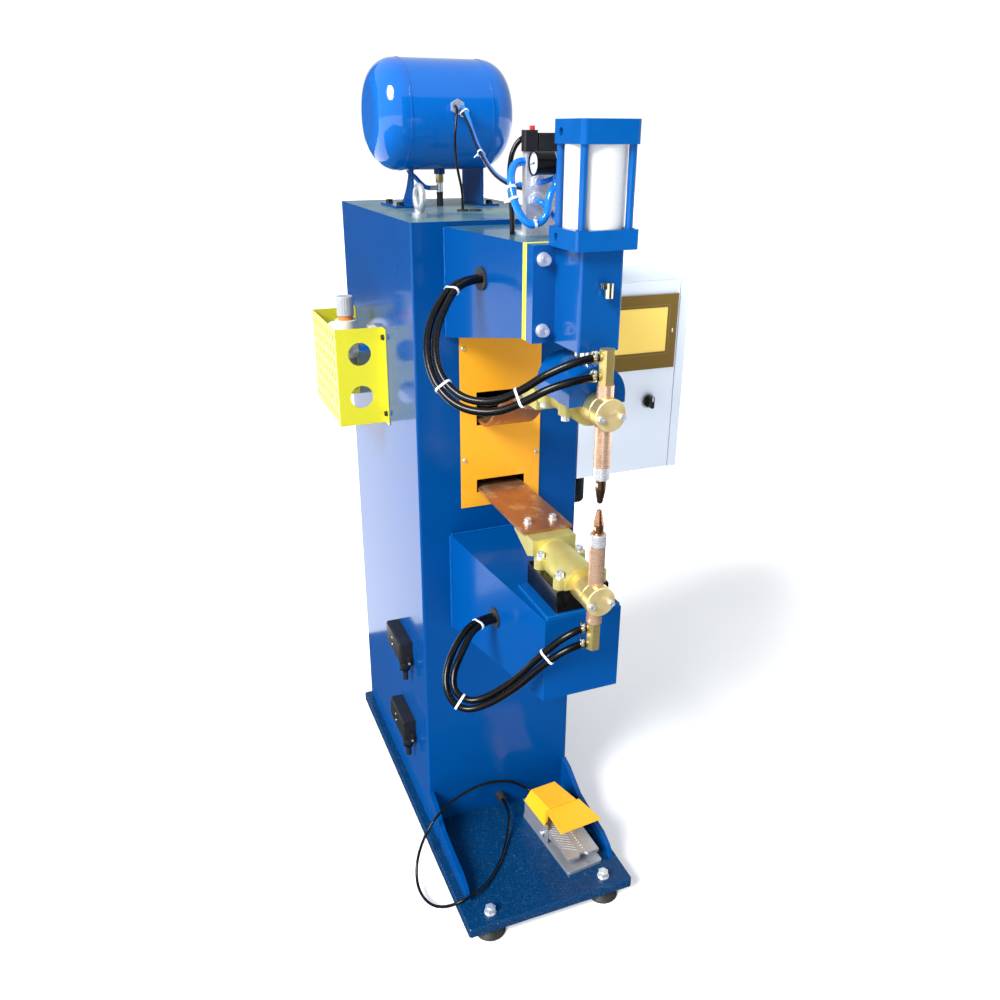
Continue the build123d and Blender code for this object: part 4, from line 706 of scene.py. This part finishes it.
def split_nodes():
    regions("column_shell",
            ("top_blue", "blue_paint", lambda p, n: n.z > 0.9 and p.z > 1279),
            ("blue", "blue_paint", rest))
    regions("upper_arm",
            ("arm_top", "blue_paint", lambda p, n: n.z > 0.9 and p.z > 1271),
            ("blue", "blue_paint", rest))
    # Knee: the pad in a lighter blue than the rest, painted light; its bright edges are partly chipped paint and
    # partly a painted highlight.
    regions("lower_knee",
            ("pad_blue_painted_light", "blue_paint", lambda p, n: p.z > 695.2),
            ("knee_blue", "blue_paint", rest))
    # Tank: the part below 1352 mm keeps the darker blue and the part above takes a much lighter blue: painted shade
    # below, painted light above.
    regions("air_tank",
            ("blue", "blue_tank", lambda p, n: p.z < 1352),
            ("tank_top_painted_light", "blue_tank", rest))
    regions("tank_fittings",
            ("zinc", "turned_brass", lambda p, n: p.y < 240 or 1306.9 < p.z < 1324.5),
            ("brass", "turned_brass", lambda p, n: p.z > 1324),
            ("dull_rubber", "turned_brass", rest))
    regions("levelling_feet",
            ("zinc", "black_rubber", lambda p, n: p.z > -21.9),
            ("dull_rubber", "black_rubber", rest))
    regions("cabinet_body",
            ("black_plastic", "grey_paint", lambda p, n: p.z < 771.5 and p.y < 90),
            ("grey", "grey_paint", rest))
    regions("cabinet_door",
            ("zinc", "grey_paint", lambda p, n: p.y < 2 and math.hypot(p.x - 319, p.z - 922) < 15.2),
            ("grey", "grey_paint", rest))
    regions("hmi_panel",
            ("screen", "hmi_face",
             lambda p, n: n.y < -0.9 and 194 < p.x < 349 and 1020 < p.z < 1109 and -3.5 < p.y < -2),
            ("bezel", "hmi_face", rest))
    regions("upper_holder",
            ("zinc", "copper", lambda p, n: 945.5 < p.z < 964.5),
            ("copper", "copper", rest))
    regions("lower_holder",
            ("zinc", "copper", lambda p, n: 834.5 < p.z < 853.5),
            ("copper", "copper", rest))
    regions("upper_tip",
            ("bright_copper", "copper", lambda p, n: abs(n.x) > 0.95 and 930 < p.z < 940 and abs(p.x) < 7.2),
            ("dark_copper", "copper", rest))
    regions("lower_tip",
            ("bright_copper", "copper", lambda p, n: abs(n.x) > 0.95 and 859 < p.z < 869 and abs(p.x) < 7.2),
            ("tip_copper", "copper", rest))
    # Clamp caps: the front faces in a lighter, less metallic brass than the sides, a painted highlight over the lathe
    # rings the faces really have.
    for side in ("upper", "lower"):
        regions(f"{side}_clamp_cap",
                (f"{side}_face", "turned_brass", lambda p, n: n.y < -0.5),
                ("brass", "turned_brass", rest))
    regions("valve_bracket",
            ("zinc", "aluminium", lambda p, n: p.y < -184.3),
            ("plate_alu", "aluminium", rest))
    regions("solenoid_valve",
            ("red", "black_plastic", lambda p, n: p.z > 1424.2),
            ("black_plastic", "black_plastic", rest))
    regions("regulator_body",
            ("orange_ring", "off_white_plastic", lambda p, n: p.z > 1072.5),
            ("grey_plastic", "off_white_plastic", lambda p, n: p.y < 252 or p.z < 997),
            ("cream", "off_white_plastic", rest))
    regions("pedal_base",
            ("zinc", "aluminium", at_pin),
            ("black_plastic", "aluminium", at_gland),
            ("cast_alu", "aluminium", rest))


# ---- small pieces ----
def on_disc(middle, angle, reach):
    """Point at an angle on a dial that faces -X, with zero upwards."""
    return middle + Vector((0, -math.sin(angle), math.cos(angle))) * reach


def gauge_face():
    middle = Vector((-35.5, -219, 1379))
    turned("gauge_dial", [(0, 0), (15.8, 0), (15.8, 0.5), (0, 0.5)], middle, (-1, 0, 0), "dial", "frame",
           64)
    for step in range(31):
        angle = math.radians(-135 + 9 * step)
        length = 3.0 if step % 5 == 0 else 1.6
        spot = on_disc(middle, angle, 14.6 - length / 2)
        turn = Matrix.Rotation(angle, 4, "X")
        slab(f"gauge_tick_{step}", spot + Vector((-0.8, -0.35, -length / 2)), spot + Vector((-0.3, 0.35, length / 2)),
             "ink", "frame", 0.08, turn)
    angle = math.radians(-100)
    spot = on_disc(middle, angle, 4.5)
    slab("gauge_needle", spot + Vector((-1.5, -0.5, -8)), spot + Vector((-1.0, 0.5, 8)), "ink", "frame",
         0.2, Matrix.Rotation(angle, 4, "X"))
    turned("gauge_hub", [(0, 0), (1.8, 0), (1.6, 1.6), (0, 1.8)], middle, (-1, 0, 0), "ink", "frame")


def operator_panel():
    for name, low, high in (("left", (189.5, 1016), (190.5, 1113)), ("right", (352.5, 1016), (353.5, 1113)),
                            ("low", (189.5, 1016), (353.5, 1017)), ("high", (189.5, 1112), (353.5, 1113))):
        slab(f"screen_line_{name}", (low[0], -4.3, low[1]), (high[0], -3.9, high[1]), "bezel_line", "door",
             0.1)
    slab("status_light", (360, -4.4, 1058), (362.5, -3.9, 1066), "cream", "door", 0.2)
    slab("selector_pointer", (317.8, -20.6, 925), (320.2, -19.9, 934), "cream", "selector", 0.2)


def connector_details():
    for i, top in enumerate((414, 213)):
        for j, z in enumerate((top - 16, top - 33)):
            turned(f"connector_screw_{i}_{j}", [(0, 0), (2.6, 0), (2.4, 0.9), (0, 1.3)], (-194, 150, z), (-1, 0, 0),
                   "zinc", "frame", 24)
        collar = [(9.4, 0), (11.5, 0.6), (11.5, 5), (10.6, 5.6), (10.6, 7), (11.3, 7.6), (11.3, 11), (9.4, 12)]
        turned(f"connector_nut_{i}", collar, (-181, 97, top - 68), (0, 0, 1), "insulator", "frame", 6,
               20)
        for j, y in enumerate((80.5, 204.5)):
            slab(f"connector_lever_{i}_{j}", (-180, y - 1, top - 50), (-172, y + 1, top - 28), "black_plastic",
                 "frame", 0.6)
        turned(f"connector_pin_{i}", [(0, 0), (2.4, 0), (2.2, 1.2), (0, 1.4)], (-176, 79.5, top - 45), (0, -1, 0),
               "zinc", "frame", 20)


def weld_beads():
    """Lumpy fillet welds where the arms meet the column."""
    runs = [((-105, -2, 1084), (-105, -2, 1270)), ((-105, -2, 493), (-105, -2, 693)), ((105, -2, 493), (105, -2, 693)),
            ((-103, -2, 696), (103, -2, 696)), ((-155, -4, 1), (-155, -224, 1)), ((155, -4, 1), (155, -224, 1))]
    for number, (start, end) in enumerate(runs):
        a, b = P(*start), P(*end)
        line = [a.lerp(b, step / 120) for step in range(121)]
        bead = tube_mesh(f"weld_{number}", line, 2.4, 10)
        for vertex in bead.data.vertices:
            vertex.co += Vector((noise.noise(vertex.co * 260), noise.noise(vertex.co * 270 + Vector((7, 0, 0))),
                                 noise.noise(vertex.co * 250 + Vector((0, 9, 0))))) * 0.0012
        # The welds take the lighter pad blue: painted light, with bright edges.
        finish_piece(bead, "pad_blue_painted_light", "frame", 60)


def pedal_pieces():
    middle = Vector((35, -56, 0)) + Matrix.Rotation(math.radians(5.5), 3, "Z") @ Vector((-6.2, -92, 28))
    axis = Matrix.Rotation(math.radians(5.5), 3, "Z") @ Vector((1, 0, 0))
    turned("pedal_snap_ring", [(4, 0), (7, 0), (7, 1.2), (4, 1.2)], middle, axis, "zinc", "frame", 32)


def flexible_strap():
    """Laminated copper strap in six leaves, level at its front end by the ram and bent down to the slot at its rear;
    it is left in place on no body.
    """
    low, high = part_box("upper_shunt")
    leaves, pitch, half, steps = 6, 0.001, 0.00046, 64
    bend_start, bend_end = P(0, -160, 0)[1], P(0, -24, 0)[1]
    front_z, rear_z = high[2] - 0.003, low[2] + 0.003
    middle = []
    for step in range(steps + 1):
        y = low[1] + (high[1] - low[1]) * step / steps
        share = min(max((y - bend_start) / (bend_end - bend_start), 0), 1)
        share = share * share * (3 - 2 * share)
        middle.append(Vector((0, y, front_z + (rear_z - front_z) * share)))
    verts, faces = [], []
    for leaf in range(leaves):
        base = len(verts)
        sink = (leaf - (leaves - 1) / 2) * pitch
        for step, spot in enumerate(middle):
            along = middle[min(step + 1, steps)] - middle[max(step - 1, 0)]
            up = Vector((0, -along.z, along.y)).normalized()
            for x, lift in ((low[0], half), (high[0], half), (high[0], -half), (low[0], -half)):
                verts.append(Vector((x, spot.y, spot.z)) + up * (sink + lift))
        for step in range(steps):
            for side in range(4):
                a, b = base + step * 4 + side, base + step * 4 + (side + 1) % 4
                faces.append((a, b, b + 4, a + 4))
        last = base + steps * 4
        faces += [(base + 3, base + 2, base + 1, base), (last, last + 1, last + 2, last + 3)]
    mesh = bpy.data.meshes.new("copper_strap")
    mesh.from_pydata(verts, [], faces)
    obj = finish_piece(add("copper_strap", mesh), "bus_copper", None, 30)
    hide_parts("upper_shunt")
    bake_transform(obj)


def caps_and_seams():
    for i, (x, y) in enumerate(((-36, -381), (36, -381), (-36, -309), (36, -309))):
        # The seats take the lighter cap blue: painted light.
        turned(f"tie_seat_{i}", [(5.4, 0), (8.2, 0), (8.2, 1.2), (5.4, 1.6)], (x, y, 1299.1), (0, 0, 1), "cap_blue_painted_light",
               "frame", 32)


make_camera()
MATERIALS = {name: surface(name, **settings) for name, settings in LOOKS.items()}
make_studio()
water_hoses()
air_tubes()
pedal_cord()
split_nodes()
gauge_face()
operator_panel()
connector_details()
weld_beads()
pedal_pieces()
caps_and_seams()
flexible_strap()

# The head and ram block, the cylinder caps and the tie rods take the lighter copies of the blue paint: painted light.
NODE_LOOKS = {
    "base_plate": "plate_blue", "gussets": "blue", "rear_cover": "blue", "front_panel": "orange",
    "structure_fasteners": "zinc", "welding_transformer": "core", "thyristor_module": "plate_alu",
    "head_gasket": "gasket", "head_housing": "head_blue_painted_light", "cylinder_caps": "cap_blue_painted_light", "cylinder_barrel": "barrel",
    "tie_rods": "cap_blue_painted_light", "oil_cup": "nickel", "oil_cup_lid": "nickel", "lifting_eyes": "forged",
    "lower_bus_bar": "bus_copper", "insulator_block": "insulator", "lower_saddle": "cast_brass",
    "lower_arm": "brass", "lower_screws": "zinc", "lower_water_fitting": "brass", "grommets": "dull_rubber",
    "black_bolts": "black_steel", "pressure_gauge": "insulator", "regulator_knob": "grey_plastic",
    "regulator_guard": "yellow", "connector_hoods": "black_plastic", "selector_knob": "black_plastic",
    "pedal_hood": "hood_yellow", "pedal_treadle": "cast_alu", "ram_rods": "chrome", "ram_block": "head_blue_painted_light",
    "upper_arm_bar": "brass", "upper_saddle": "cast_brass", "upper_screws": "zinc", "upper_water_fitting": "brass",
}
for node, look in NODE_LOOKS.items():
    holder = frame["nodes"][node]
    holder.data.materials.clear()
    holder.data.materials.append(MATERIALS[look])
